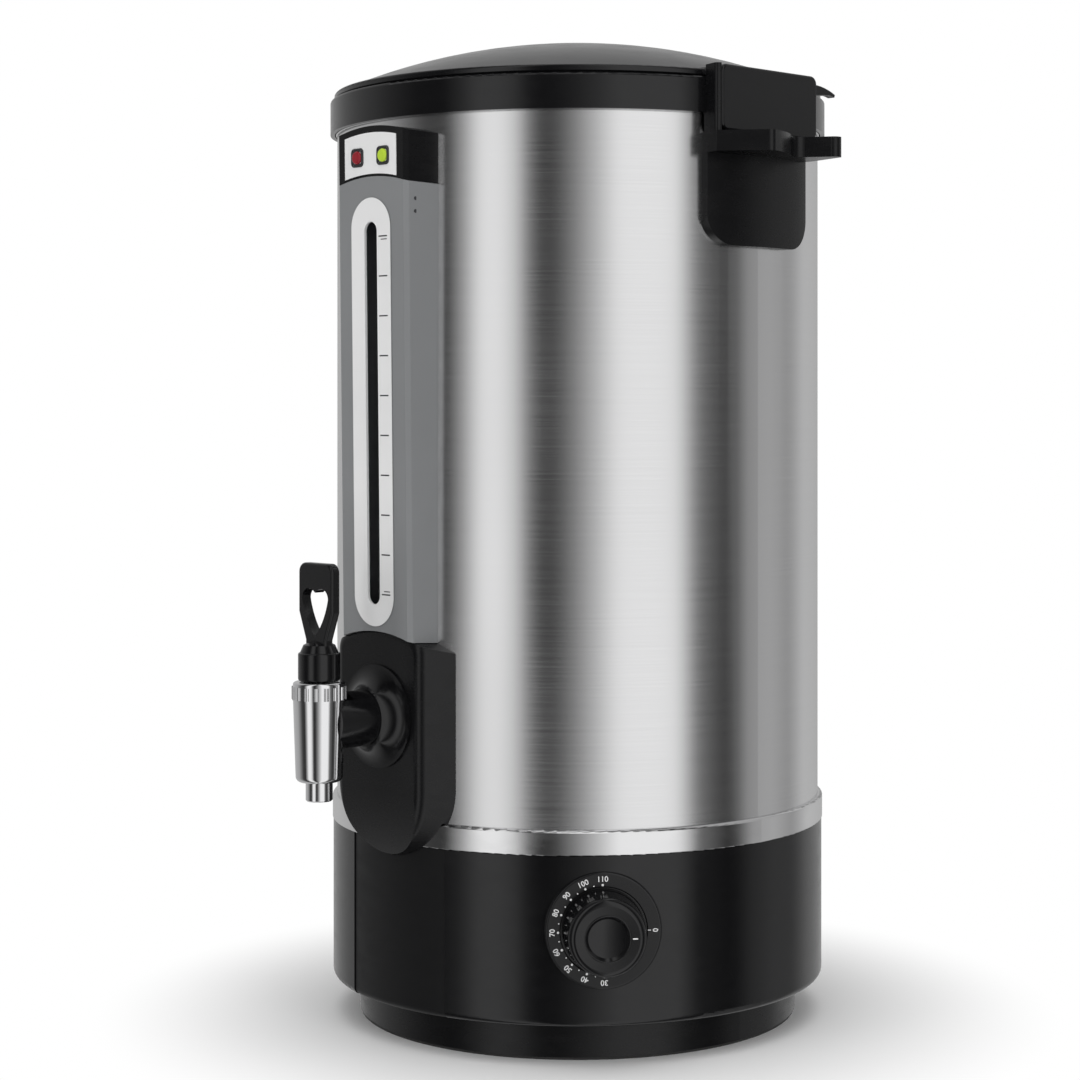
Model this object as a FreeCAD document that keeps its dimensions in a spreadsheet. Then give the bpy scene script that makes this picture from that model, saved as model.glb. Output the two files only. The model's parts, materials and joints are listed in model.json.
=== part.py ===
import FreeCAD, Part
import math
import os
import Sketcher
from FreeCAD import Placement, Rotation, Vector

# Hot water urn with a tap, a sight glass and a thermostat, in millimetres.
# +Z is up, the tap points along -Y, the two handles stand on +X and -X,
# and the origin is on the standing surface, on the axis of the round body.

doc = FreeCAD.newDocument("hot_water_urn")
sheet = doc.addObject("Spreadsheet::Sheet", "sizes")

# Driving sizes: name, value, what it is
SIZES = (
    ("body_radius", 140.0, "outer radius of the steel wall"),
    ("shell_wall", 0.8, "thickness of the steel wall"),
    ("tank_gap", 15.0, "how far the tank stands in from the steel wall"),
    ("tank_wall", 0.8, "thickness of the tank"),
    ("tank_low", 150.0, "height of the tank's underside"),
    ("tank_corner", 12.0, "outer radius of the tank's bottom corner"),
    ("skirt_lap", 11.6, "how far the steel wall reaches down inside the base skirt"),
    ("shell_top", 505.7, "height of the steel wall's upper edge"),
    ("foot_pad", 1.5, "thickness of the rubber strip below the foot ring"),
    ("strip_inset", 0.6, "how far that strip stands in from the ring's outside"),
    ("foot_inset", 13.3, "how far the foot ring stands in from the steel wall"),
    ("foot_top", 21.0, "height of the foot ring's top"),
    ("foot_wall", 3.0, "wall of the foot ring"),
    ("feet_inset", 40.0, "how far the rubber feet stand in from the steel wall"),
    ("feet_radius", 10.0, "radius of one rubber foot"),
    ("pillar_inset", 26.0, "how far the screw pillars stand in from the steel wall"),
    ("plate_height", 6.0, "height of the base plate's underside"),
    ("plate_thick", 2.0, "thickness of the base plate"),
    ("skirt_proud", 2.2, "how far the base skirt stands proud of the steel wall"),
    ("skirt_top", 111.6, "height of the base skirt's upper edge"),
    ("skirt_round", 4.0, "rounding of the base skirt's lower edge"),
    ("skirt_floor", 3.0, "thickness of the skirt's inner flange"),
    ("skirt_shelf", 28.0, "how far the skirt's flange reaches in from the steel wall"),
    ("panel_half", 38.0, "half the width of the opening for the front base panel"),
    ("panel_sunk", 0.6, "how far the front base panel lies below the skirt"),
    ("panel_inset", 19.0, "how far the front base panel reaches in from the steel wall"),
    ("seam_gap", 0.35, "gap round the front base panel"),
    ("band_proud", 2.6, "how far the bright band stands proud of the steel wall"),
    ("band_height", 13.7, "height of the bright band"),
    ("collar_proud", 4.0, "how far the rim collar stands proud of the steel wall"),
    ("collar_height", 19.3, "height of the rim collar"),
    ("collar_wall", 2.6, "wall of the rim collar"),
    ("mouth_inset", 13.0, "how far the mouth's edge stands in from the steel wall"),
    ("lid_lap", 1.7, "how far the lid's bead stands out past the steel wall"),
    ("lid_gap", 0.4, "gap between the lid and the rim collar"),
    ("lid_bead", 4.0, "height of the lid's bead"),
    ("lid_wall", 2.6, "wall of the lid"),
    ("dome_radius", 350.0, "radius of the lid's dome"),
    ("dome_step", 3.7, "how far the dome's edge stands in from the lid's bead"),
    ("spigot_gap", 2.6, "gap between the mouth and the ring below the lid"),
    ("spigot_wall", 2.2, "wall of the ring below the lid"),
    ("spigot_drop", 13.0, "how deep that ring reaches into the mouth"),
    ("gasket_height", 6.0, "height of the lid's gasket"),
    ("gasket_squeeze", 0.5, "gap between the gasket and the mouth"),
    ("vent_radius", 2.5, "radius of the steam vent"),
    ("vent_inset", 45.0, "how far the steam vent stands in from the steel wall"),
    ("ear_proud", 9.3, "how far an ear's flat face stands out from the steel wall"),
    ("ear_half", 39.2, "half the width of an ear"),
    ("ear_step", 0.6, "gap between an ear and the grip shelf below it"),
    ("ear_rise", 1.6, "how far an ear stands above the lid's bead"),
    ("ear_corner", 4.5, "rounding of an ear's corners"),
    ("ear_gap", 0.5, "gap between an ear and what is beside it"),
    ("tab_length", 16.0, "how far the finger tab stands out past an ear"),
    ("tab_thick", 5.6, "thickness of the finger tab at its root"),
    ("pad_drop", 70.7, "how far a handle's lower edge lies below the wall's upper edge"),
    ("pad_half", 40.5, "half the width of a handle"),
    ("pad_proud", 5.5, "thickness of a handle's plate"),
    ("pad_corner", 17.0, "rounding of a handle's lower corners"),
    ("handle_angle", 16.2, "angle from a handle's middle to its closed end, in degrees"),
    ("grip_drop", 10.7, "how far the grip shelf lies below the wall's upper edge"),
    ("grip_thick", 11.0, "thickness of a handle's grip shelf"),
    ("grip_proud", 35.0, "how far the grip's lobes stand out from the steel wall"),
    ("waist_proud", 17.5, "how far the grip's hollow stands out from the steel wall"),
    ("screw_radius", 2.5, "radius of a handle screw"),
    ("screw_pitch", 50.0, "distance between the two screws of a handle"),
    ("screw_drop", 47.7, "how far the handle screws lie below the wall's upper edge"),
    ("gauge_proud", 13.7, "how far the gauge housing's face stands out at its foot"),
    ("gauge_half", 29.0, "half the width of the gauge housing's face"),
    ("gauge_flare", 3.0, "how much wider the housing is at its root, each side"),
    ("gauge_edge", 2.2, "bevel along the housing's front edges"),
    ("gauge_wall", 2.4, "wall of the gauge housing"),
    ("gauge_lean", 0.7, "how far the gauge housing leans outwards, in degrees"),
    ("gauge_drop", 32.8, "how far the gauge housing's crown lies below the wall's edge"),
    ("arch_radius", 107.0, "radius of the arched joint above the gauge housing"),
    ("bezel_half", 16.3, "half the width of the white window bezel"),
    ("bezel_foot", 3.0, "how far the bezel's lower end lies above the tap cover"),
    ("bezel_head", 11.4, "how far the bezel's upper end lies below the housing's crown"),
    ("bezel_proud", 0.5, "how far the bezel stands proud of the housing"),
    ("slot_half", 5.5, "half the width of the window slot"),
    ("slot_foot", 11.6, "how far the slot's lower end lies above the bezel's"),
    ("slot_head", 12.8, "how far the slot's upper end lies below the bezel's"),
    ("tube_radius", 4.0, "outer radius of the sight tube"),
    ("tube_wall", 1.0, "wall of the sight tube"),
    ("tube_head", 1.5, "how far the sight tube reaches above the bezel"),
    ("tube_stand", 5.6, "distance from the steel wall to the sight tube's centre line"),
    ("lamp_drop", 5.5, "how far the indicator housing's crown lies below the wall's edge"),
    ("lamp_radius", 3.6, "radius of an indicator lens"),
    ("lamp_pitch", 21.4, "distance between the two lenses"),
    ("lens_drop", 22.1, "how far the lenses lie below the wall's upper edge"),
    ("label_half", 21.5, "half the width of the white indicator plate"),
    ("cover_proud", 12.0, "how far the tap cover's face stands out from the steel wall"),
    ("cover_half", 34.5, "half the width of the tap cover's face"),
    ("cover_taper", 23.8, "how much the tap cover widens towards its root, in degrees"),
    ("cover_edge", 7.0, "rounding of the tap cover's front edge"),
    ("cover_corner", 10.0, "rounding of the tap cover's upper corners"),
    ("cover_foot", 34.0, "rounding of the tap cover's lower corners"),
    ("cover_drop", 78.0, "how far the tap cover's lower end lies below the tap's inlet"),
    ("cover_rise", 45.8, "how far the tap cover's crown lies above the tap's inlet"),
    ("cover_arch", 93.0, "radius of the tap cover's arched top"),
    ("cover_wall", 3.5, "wall of the tap cover"),
    ("tap_rise", 31.0, "height of the tap's inlet above the tank's underside"),
    ("tap_stand", 52.0, "distance from the steel wall to the tap barrel's centre line"),
    ("shank_radius", 8.0, "outer radius of the tap shank"),
    ("shank_bore", 5.0, "bore of the tap shank"),
    ("flange_radius", 28.0, "radius of the tap flange"),
    ("flange_depth", 10.0, "depth of the tap flange"),
    ("sleeve_radius", 15.0, "radius of the tap sleeve"),
    ("barrel_radius", 13.8, "radius of the tap barrel at its top"),
    ("barrel_foot", 12.45, "radius of the tap barrel at its bottom"),
    ("barrel_drop", 31.0, "how far the tap barrel reaches below the tap's inlet"),
    ("barrel_rise", 12.0, "how far the tap barrel's shoulder lies above the tap's inlet"),
    ("barrel_bore", 10.0, "bore of the tap barrel"),
    ("nozzle_radius", 7.15, "radius of the nozzle"),
    ("nozzle_bore", 5.2, "bore of the nozzle"),
    ("nozzle_length", 10.2, "how far the nozzle reaches below the tap barrel"),
    ("ring_radius", 13.9, "radius of the knurled bonnet between its ribs"),
    ("ring_height", 10.0, "height of the knurled bonnet"),
    ("ring_ribs", 16, "number of ribs on the knurled bonnet"),
    ("stem_radius", 3.0, "radius of the valve stem"),
    ("running_gap", 0.06, "running clearance of a shaft in its bore"),
    ("cup_radius", 11.2, "radius of the lever's round cup"),
    ("cup_height", 15.4, "height of the lever's round cup"),
    ("cup_gap", 0.25, "gap between the lever's cup and the bonnet"),
    ("pin_rise", 6.0, "height of the lever's pin above the bonnet"),
    ("pin_radius", 1.5, "radius of the lever's pin"),
    ("lever_half", 14.25, "half the width of the lever"),
    ("lever_neck", 8.4, "half the width of the lever's neck"),
    ("lever_thick", 5.8, "thickness of the lever"),
    ("lever_rise", 84.7, "how far the lever's top lies above the tap's inlet"),
    ("lever_corner", 5.0, "rounding of the lever's top corners"),
    ("heart_half", 10.9, "half the width of the heart-shaped hole"),
    ("heart_rise", 71.4, "how far the hole's two lobes lie above the tap's inlet"),
    ("heart_root", 45.8, "how far the hole's point lies above the tap's inlet"),
    ("dial_angle", 51.0, "angle of the dial from the tap, round towards +X"),
    ("dial_height", 72.5, "height of the dial's centre"),
    ("dial_radius", 31.0, "radius of the dial ring"),
    ("dial_proud", 1.4, "how far the dial ring stands proud of the skirt"),
    ("knob_radius", 22.0, "radius of the knob"),
    ("knob_depth", 20.0, "depth of the knob"),
    ("dish_radius", 11.6, "radius of the dish in the knob's face"),
    ("shaft_radius", 3.0, "radius of the thermostat shaft"),
    ("gland_height", 48.0, "height of the cord entry at the back"),
    ("gland_bore", 4.2, "radius of the hole for the cord"),
    ("gland_depth", 16.0, "depth of the hole for the cord"),
)


class Size:
    """A number together with the sheet expression that gives it."""

    def __init__(self, value, text):
        self.value = float(value)
        self.text = text

    def __add__(self, other):
        other = sized(other)
        return Size(self.value + other.value, f"({self.text} + {other.text})")

    def __sub__(self, other):
        other = sized(other)
        return Size(self.value - other.value, f"({self.text} - {other.text})")

    def __mul__(self, other):
        other = sized(other)
        return Size(self.value * other.value, f"({self.text} * {other.text})")

    def __truediv__(self, other):
        other = sized(other)
        return Size(self.value / other.value, f"({self.text} / {other.text})")

    def __neg__(self):
        return Size(-self.value, f"(0 - {self.text})")

    def __radd__(self, other):
        return sized(other) + self

    def __rsub__(self, other):
        return sized(other) - self

    def __rmul__(self, other):
        return sized(other) * self


def sized(number):
    """Returns a Size for a plain number, and a Size as it is."""
    if isinstance(number, Size):
        return number
    return Size(number, repr(float(number)))


def root(size):
    """The square root of a Size."""
    return Size(math.sqrt(size.value), f"sqrt({size.text})")


def across(radius, half):
    """How far out a circle of that radius lies where it is that far off its centre line."""
    return root(radius * radius - half * half)


class Sheet:
    """The driving sizes and what follows from them, each as an attribute."""


size = Sheet()
for row, (name, value, meaning) in enumerate(SIZES, start=1):
    sheet.set(f"A{row}", name)
    sheet.set(f"B{row}", str(value))
    sheet.set(f"C{row}", meaning)
    sheet.setAlias(f"B{row}", name)
    setattr(size, name, Size(value, f"sizes.{name}"))
doc.recompute()

# Radii and heights that follow from the driving sizes
wall, rim = size.body_radius, size.shell_top
size.tank_radius = wall - size.tank_gap
size.foot_radius = wall - size.foot_inset
size.feet_circle = wall - size.feet_inset
size.pillar_circle = wall - size.pillar_inset
size.skirt_inner = wall - size.skirt_shelf
size.panel_root = wall - size.panel_inset
size.mouth_radius = wall - size.mouth_inset
size.spigot_radius = size.mouth_radius - size.spigot_gap
size.lid_radius = wall + size.lid_lap
size.dome_edge = size.lid_radius - size.dome_step
size.vent_place = wall - size.vent_inset
size.ear_face = wall + size.ear_proud
size.grip_reach = wall + size.grip_proud
size.grip_waist = wall + size.waist_proud
size.gauge_face = wall + size.gauge_proud
size.tube_place = wall + size.tube_stand
size.cover_face = wall + size.cover_proud
size.tap_place = wall + size.tap_stand
size.shell_bottom = size.skirt_top - size.skirt_lap
size.pad_bottom = rim - size.pad_drop
size.grip_top = rim - size.grip_drop
size.ear_bottom = size.grip_top + size.ear_step
size.screw_height = rim - size.screw_drop
size.gauge_top = rim - size.gauge_drop
size.lamp_top = rim - size.lamp_drop
size.lamp_height = rim - size.lens_drop
size.tap_height = size.tank_low + size.tap_rise
size.cover_low = size.tap_height - size.cover_drop
size.cover_high = size.tap_height + size.cover_rise
size.bezel_low = size.cover_high + size.bezel_foot
size.bezel_high = size.gauge_top - size.bezel_head
size.slot_low = size.bezel_low + size.slot_foot
size.slot_high = size.bezel_high - size.slot_head
size.tube_top = size.bezel_high + size.tube_head
size.barrel_low = size.tap_height - size.barrel_drop
size.barrel_high = size.tap_height + size.barrel_rise
size.nozzle_low = size.barrel_low - size.nozzle_length
size.lever_top = size.tap_height + size.lever_rise
size.heart_top = size.tap_height + size.heart_rise
size.heart_foot = size.tap_height + size.heart_root
skirt_radius = size.body_radius + size.skirt_proud
band_radius = size.body_radius + size.band_proud
band_top = size.skirt_top + size.band_height
collar_radius = size.body_radius + size.collar_proud
collar_top = size.shell_top + size.collar_height
lid_bottom = collar_top + size.lid_gap
bead_top = lid_bottom + size.lid_bead
dome_centre = bead_top - across(size.dome_radius, size.dome_edge)
ear_top = bead_top + size.ear_rise
grip_bottom = size.grip_top - size.grip_thick
bonnet_top = size.barrel_high + size.ring_height
pin_height = bonnet_top + size.pin_rise
knob_seat = skirt_radius + size.dial_proud

FORWARD = Rotation(Vector(1, 0, 0), 90)
UPRIGHT = Rotation()
pieces = []


def bind(thing, prop, amount):
    """Gives a property its value and ties it to the sheet."""
    amount = sized(amount)
    setattr(thing, prop, amount.value)
    thing.setExpression(prop, amount.text)


def place(thing, at=(0, 0, 0), turned_by=UPRIGHT):
    """Puts an object at a point that follows the sheet."""
    spot = [sized(value) for value in at]
    thing.Placement = Placement(Vector(*[value.value for value in spot]), turned_by)
    for letter, value in zip("xyz", spot):
        if "sizes" in value.text:
            thing.setExpression(f"Placement.Base.{letter}", value.text)
    return thing


def arc_between(start, finish, radius, left):
    """The arc of a circle between two points, and the ends of its travel."""
    chord = finish - start
    height = math.sqrt(max(radius ** 2 - (chord.Length / 2) ** 2, 0.0))
    across_chord = Vector(-chord.y, chord.x, 0).normalize()
    centre = (start + finish) / 2 + across_chord * (height if left else -height)
    first, last = (start, finish) if left else (finish, start)
    angles = [math.atan2(end.y - centre.y, end.x - centre.x) for end in (first, last)]
    arc = Part.ArcOfCircle(Part.Circle(centre, Vector(0, 0, 1), radius), *angles)
    return arc, (1, 2) if left else (2, 1)


def tie(sketch, kind, geometry, end, amount):
    """Ties one coordinate of a point in a sketch to the sheet."""
    amount = sized(amount)
    if "sizes" not in amount.text and amount.value == 0:
        axis = -2 if kind == "DistanceX" else -1
        sketch.addConstraint(Sketcher.Constraint("PointOnObject", geometry, end, axis))
        return
    number = sketch.addConstraint(
        Sketcher.Constraint(kind, -1, 1, geometry, end, amount.value)
    )
    if "sizes" in amount.text:
        sketch.setExpression(f"Constraints[{number}]", amount.text)


def draw(sketch, outline):
    """Draws a closed outline. A corner is (u, v), or (u, v, radius, "left" or "right")
    where an arc leads to it, or (u, v, "cap") where a half circle does."""
    first = sketch.GeometryCount
    travel = []
    for index, corner in enumerate(outline):
        start = Vector(*[sized(value).value for value in outline[index - 1][:2]])
        finish = Vector(*[sized(value).value for value in corner[:2]])
        if len(corner) == 2:
            sketch.addGeometry(Part.LineSegment(start, finish))
            travel.append((1, 2))
            continue
        if len(corner) == 3:
            radius, left = (finish - start).Length / 2, True
        else:
            radius, left = sized(corner[2]).value, corner[3] == "left"
        arc, ends = arc_between(start, finish, radius, left)
        sketch.addGeometry(arc)
        travel.append(ends)
    for index, corner in enumerate(outline):
        geometry, end = first + index, travel[index][1]
        after = (index + 1) % len(outline)
        sketch.addConstraint(Sketcher.Constraint(
            "Coincident", geometry, end, first + after, travel[after][0]
        ))
        tie(sketch, "DistanceX", geometry, end, corner[0])
        tie(sketch, "DistanceY", geometry, end, corner[1])
        if len(corner) == 3:
            before = outline[index - 1]
            flat = sized(before[1]).value == sized(corner[1]).value
            tie(sketch, "DistanceY" if flat else "DistanceX", geometry, 3,
                corner[1] if flat else corner[0])
        if len(corner) == 4:
            radius = sized(corner[2])
            number = sketch.addConstraint(
                Sketcher.Constraint("Radius", geometry, radius.value)
            )
            if "sizes" in radius.text:
                sketch.setExpression(f"Constraints[{number}]", radius.text)


def ring_in(sketch, u, v, radius):
    """Draws a circle in a sketch."""
    u, v, radius = sized(u), sized(v), sized(radius)
    circle = Part.Circle(Vector(u.value, v.value, 0), Vector(0, 0, 1), radius.value)
    geometry = sketch.addGeometry(circle)
    tie(sketch, "DistanceX", geometry, 3, u)
    tie(sketch, "DistanceY", geometry, 3, v)
    number = sketch.addConstraint(Sketcher.Constraint("Radius", geometry, radius.value))
    if "sizes" in radius.text:
        sketch.setExpression(f"Constraints[{number}]", radius.text)


def sketch_in(body, role, offset=0):
    """Adds a sketch on one of a body's own origin planes, moved along its normal."""
    sketch = body.newObject("Sketcher::SketchObject", f"{body.Name}_sketch")
    plane = [item for item in body.Origin.OriginFeatures if item.Role == role][0]
    sketch.AttachmentSupport = [(plane, "")]
    sketch.MapMode = "FlatFace"
    offset = sized(offset)
    sketch.AttachmentOffset = Placement(Vector(0, 0, offset.value), UPRIGHT)
    if "sizes" in offset.text:
        sketch.setExpression("AttachmentOffset.Base.z", offset.text)
    return sketch


def turned(name, outline, at=(0, 0, 0), turned_by=UPRIGHT):
    """A body turned about its own Z axis from an outline of (radius, height) corners."""
    body = doc.addObject("PartDesign::Body", name)
    sketch = sketch_in(body, "XZ_Plane")
    draw(sketch, outline)
    feature = body.newObject("PartDesign::Revolution", f"{name}_turned")
    feature.Profile = sketch
    feature.ReferenceAxis = (sketch, ["V_Axis"])
    feature.Angle = 360
    sketch.Visibility = False
    return place(body, at, turned_by)


def padded(name, role, outlines, length, offset=0, circles=(), at=(0, 0, 0),
           turned_by=UPRIGHT, middle=False):
    """A body padded from outlines on an origin plane. The inner outlines are holes."""
    body = doc.addObject("PartDesign::Body", name)
    sketch = sketch_in(body, role, offset)
    for outline in outlines:
        draw(sketch, outline)
    for circle in circles:
        ring_in(sketch, *circle)
    feature = body.newObject("PartDesign::Pad", f"{name}_pad")
    feature.Profile = sketch
    bind(feature, "Length", length)
    feature.Midplane = middle
    sketch.Visibility = False
    return place(body, at, turned_by)


def softened(body, radius, wanted):
    """Rounds those edges of a body's last feature for which wanted(edge) is true."""
    doc.recompute()
    base = body.Tip
    names = [
        f"Edge{number}" for number, edge in enumerate(base.Shape.Edges, start=1)
        if wanted(edge)
    ]
    feature = body.newObject("PartDesign::Fillet", f"{body.Name}_round")
    feature.Base = (base, names)
    bind(feature, "Radius", radius)
    return body


def rod(name, radius, length, at=(0, 0, 0), turned_by=UPRIGHT):
    """A round bar along its own Z axis."""
    thing = doc.addObject("Part::Cylinder", name)
    bind(thing, "Radius", radius)
    bind(thing, "Height", length)
    return place(thing, at, turned_by)


def block(name, low, high):
    """A box between two corners."""
    thing = doc.addObject("Part::Box", name)
    for prop, least, most in zip(("Length", "Width", "Height"), low, high):
        bind(thing, prop, sized(most) - sized(least))
    return place(thing, low)


def cut(name, base, *tools):
    """What is left of base when the tools are taken from it, one after another."""
    for number, tool in enumerate(tools, start=1):
        last = number == len(tools)
        thing = doc.addObject("Part::Cut", name if last else f"{name}_cut{number}")
        thing.Base = base
        thing.Tool = tool
        base = thing
    return base


def fused(name, *parts):
    """Several shapes as one."""
    thing = doc.addObject("Part::MultiFuse", name)
    thing.Shapes = list(parts)
    return thing


def shared(name, *parts):
    """The space that all the shapes share."""
    thing = doc.addObject("Part::MultiCommon", name)
    thing.Shapes = list(parts)
    return thing


def group(name, parts):
    """Separate solids that share one node, such as a set of alike screws."""
    thing = doc.addObject("Part::Compound", name)
    thing.Links = list(parts)
    return thing


def piece(thing, label):
    """Gives a sub-part its label and puts it on the list of what is written."""
    thing.Label = label
    pieces.append(thing)
    return thing


def oblong(half, low, high):
    """An upright slot with round ends."""
    return [
        (half, low + half, "cap"), (half, high - half),
        (-half, high - half, "cap"), (-half, low + half),
    ]


def rim_points(circle, count=4, start=45.0):
    """Points evenly spaced on a circle about the urn's axis."""
    for step in range(count):
        angle = math.radians(start + 360.0 * step / count)
        yield circle * math.cos(angle), circle * math.sin(angle), angle


# Foot ring, rubber feet and base plate
plate_top = size.plate_height + size.plate_thick
flange_low = size.foot_top - size.foot_wall
foot_inner = size.foot_radius - size.foot_wall
ring = turned("foot_wall_ring", [
    (size.foot_radius, size.foot_pad), (size.foot_radius, size.foot_top),
    (size.skirt_inner - size.foot_wall, size.foot_top),
    (size.skirt_inner - size.foot_wall, flange_low),
    (foot_inner, flange_low), (foot_inner, size.foot_pad),
])
pillars = [
    rod(f"pillar{number}", 5.0, flange_low - plate_top + 0.5, (x, y, plate_top))
    for number, (x, y, angle) in enumerate(rim_points(size.pillar_circle, start=0.0))
]
pillar_holes = [
    rod(f"pillar_hole{number}", 2.0, size.foot_wall * 3, (x, y, plate_top - 1.0))
    for number, (x, y, angle) in enumerate(rim_points(size.pillar_circle, start=0.0))
]
piece(cut("foot_ring", fused("foot_ring_blank", ring, *pillars), *pillar_holes), "foot_ring")

piece(turned("foot_strip", [
    (size.foot_radius - size.strip_inset, 0),
    (size.foot_radius - size.strip_inset, size.foot_pad),
    (foot_inner, size.foot_pad), (foot_inner, 0),
]), "foot_strip")

vent_slots = []
for number, (x, y, angle) in enumerate(rim_points(size.feet_circle * 0.55, 12, 15.0)):
    slot = doc.addObject("Part::Box", f"vent_slot{number}")
    slot.Length, slot.Width, slot.Height = 22.0, 4.0, 6.0
    place(slot, (x, y, size.plate_height - 1.0), Rotation(Vector(0, 0, 1), math.degrees(angle)))
    vent_slots.append(slot)
plate_holes = [
    rod(f"plate_hole{number}", 2.3, 6.0, (x, y, size.plate_height - 1.0))
    for number, (x, y, angle) in enumerate(rim_points(size.pillar_circle, start=0.0))
] + [
    rod(f"foot_hole{number}", 3.5, 6.0, (x, y, size.plate_height - 1.0))
    for number, (x, y, angle) in enumerate(rim_points(size.feet_circle))
]
plate_disc = rod("plate_disc", foot_inner - size.seam_gap, size.plate_thick,
                 (0, 0, size.plate_height))
piece(cut("base_plate", plate_disc, *vent_slots, *plate_holes), "base_plate")

feet = [
    turned(f"foot{number}", [
        (0, 0), (size.feet_radius - 1.0, 0), (size.feet_radius, 1.0),
        (size.feet_radius, size.plate_height), (3.5, size.plate_height),
        (3.5, plate_top), (5.0, plate_top), (3.0, plate_top + 4.0), (0, plate_top + 4.0),
    ], (x, y, 0))
    for number, (x, y, angle) in enumerate(rim_points(size.feet_circle))
]
piece(group("rubber_feet", feet), "rubber_feet")

base_screws = [
    turned(f"base_screw{number}", [
        (0, size.plate_height - 2.6), (2.4, size.plate_height - 2.6),
        (4.0, size.plate_height - 1.2), (4.0, size.plate_height),
        (2.0, size.plate_height), (2.0, size.plate_height + 9.0),
        (0, size.plate_height + 9.0),
    ], (x, y, 0))
    for number, (x, y, angle) in enumerate(rim_points(size.pillar_circle, start=0.0))
]
piece(group("base_screws", base_screws), "base_screws")


# Base skirt with its front panel, and the bright band above it
def skirt_outline(radius):
    """Section of the base skirt: an upright wall, a rounded foot and an inner flange."""
    inner = size.body_radius
    flange_top = size.foot_top + size.skirt_floor
    return [
        (radius - size.skirt_round, size.foot_top),
        (radius, size.foot_top + size.skirt_round, size.skirt_round, "left"),
        (radius, size.skirt_top), (inner, size.skirt_top), (inner, size.shell_bottom),
        (inner - 1.2, size.shell_bottom), (inner - 1.2, flange_top),
        (size.skirt_inner, flange_top), (size.skirt_inner, size.foot_top),
    ]


window = block("panel_window", (-size.panel_half, -size.body_radius * 1.2, 0),
               (size.panel_half, -size.panel_root, size.skirt_top * 1.1))
TO_DIAL = Rotation(Vector(0, 0, 1), size.dial_angle.value) * FORWARD
dial_cos = math.cos(math.radians(size.dial_angle.value))
dial_sin = math.sin(math.radians(size.dial_angle.value))


def out_at_dial(distance):
    """The point that far out from the urn's axis on the dial's centre line."""
    return distance * dial_sin, -distance * dial_cos, size.dial_height


BACKWARD = Rotation(Vector(1, 0, 0), -90)
dial_way = rod("dial_way", 6.0, 30.0, out_at_dial(size.body_radius - 15.0), TO_DIAL)
gland_hole = size.gland_bore + 5.0
gland_way = rod("gland_way", gland_hole, 30.0,
                (0, size.body_radius - 15.0, size.gland_height), BACKWARD)
skirt_blank = turned("skirt_blank", skirt_outline(skirt_radius))
piece(cut("base_skirt", skirt_blank, window, dial_way, gland_way), "base_skirt")

panel_blank = turned("panel_blank", skirt_outline(skirt_radius - size.panel_sunk))
panel_trim = block("panel_trim",
                   (-size.panel_half + size.seam_gap, -size.body_radius * 1.2, 0),
                   (size.panel_half - size.seam_gap, -size.panel_root - size.seam_gap,
                    size.skirt_top * 1.1))
piece(shared("front_base_panel", panel_blank, panel_trim), "front_base_panel")

piece(turned("trim_band", [
    (size.body_radius, size.skirt_top), (band_radius - 0.6, size.skirt_top),
    (band_radius, size.skirt_top + 0.6, 0.6, "left"), (band_radius, band_top - 1.6),
    (band_radius - 1.6, band_top, 1.6, "left"), (size.body_radius, band_top),
]), "trim_band")

# Steel wall and inner tank
shell_inner = size.body_radius - size.shell_wall
shell_blank = turned("shell_blank", [
    (size.body_radius, size.shell_bottom), (size.body_radius, size.shell_top),
    (shell_inner, size.shell_top), (shell_inner, size.shell_bottom),
])
shell_port = rod("shell_port", size.shank_radius + 2.0, 20.0,
                 (0, -size.body_radius + 10.0, size.tap_height), FORWARD)
screw_spots = [
    (side, step * size.screw_pitch / 2) for side in (1, -1) for step in (1, -1)
]
SIDEWAYS = Rotation(Vector(0, 1, 0), 90)
screw_ways = [
    rod(f"screw_way{number}", size.screw_radius + 0.3, size.body_radius * 2.2,
        (-size.body_radius * 1.1, offset, size.screw_height), SIDEWAYS)
    for number, (side, offset) in enumerate(screw_spots[:2])
]
lamp_way = rod("lamp_way", 6.0, 20.0, (0, -size.body_radius + 10.0, size.lamp_height), FORWARD)
piece(cut("outer_shell", shell_blank, shell_port, lamp_way, *screw_ways), "outer_shell")

tank_inner = size.tank_radius - size.tank_wall
tank_bend = size.tank_corner - size.tank_wall
tank_seam = size.tank_low + size.tank_corner
flange_edge = size.body_radius + size.tank_wall
tank_blank = turned("tank_blank", [
    (size.tank_radius, tank_seam), (size.tank_radius, size.shell_top),
    (flange_edge, size.shell_top), (flange_edge, size.shell_top + size.tank_wall),
    (tank_inner, size.shell_top + size.tank_wall), (tank_inner, tank_seam),
])
tank_port = rod("tank_port", size.shank_radius, 20.0,
                (0, -size.tank_radius + 10.0, size.tap_height), FORWARD)
piece(cut("inner_tank", tank_blank, tank_port), "inner_tank")
piece(turned("tank_floor", [
    (0, size.tank_low), (size.tank_radius - size.tank_corner, size.tank_low),
    (size.tank_radius, tank_seam, size.tank_corner, "left"), (tank_inner, tank_seam),
    (size.tank_radius - size.tank_corner, size.tank_low + size.tank_wall,
     tank_bend, "right"),
    (0, size.tank_low + size.tank_wall),
]), "tank_floor")

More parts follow.
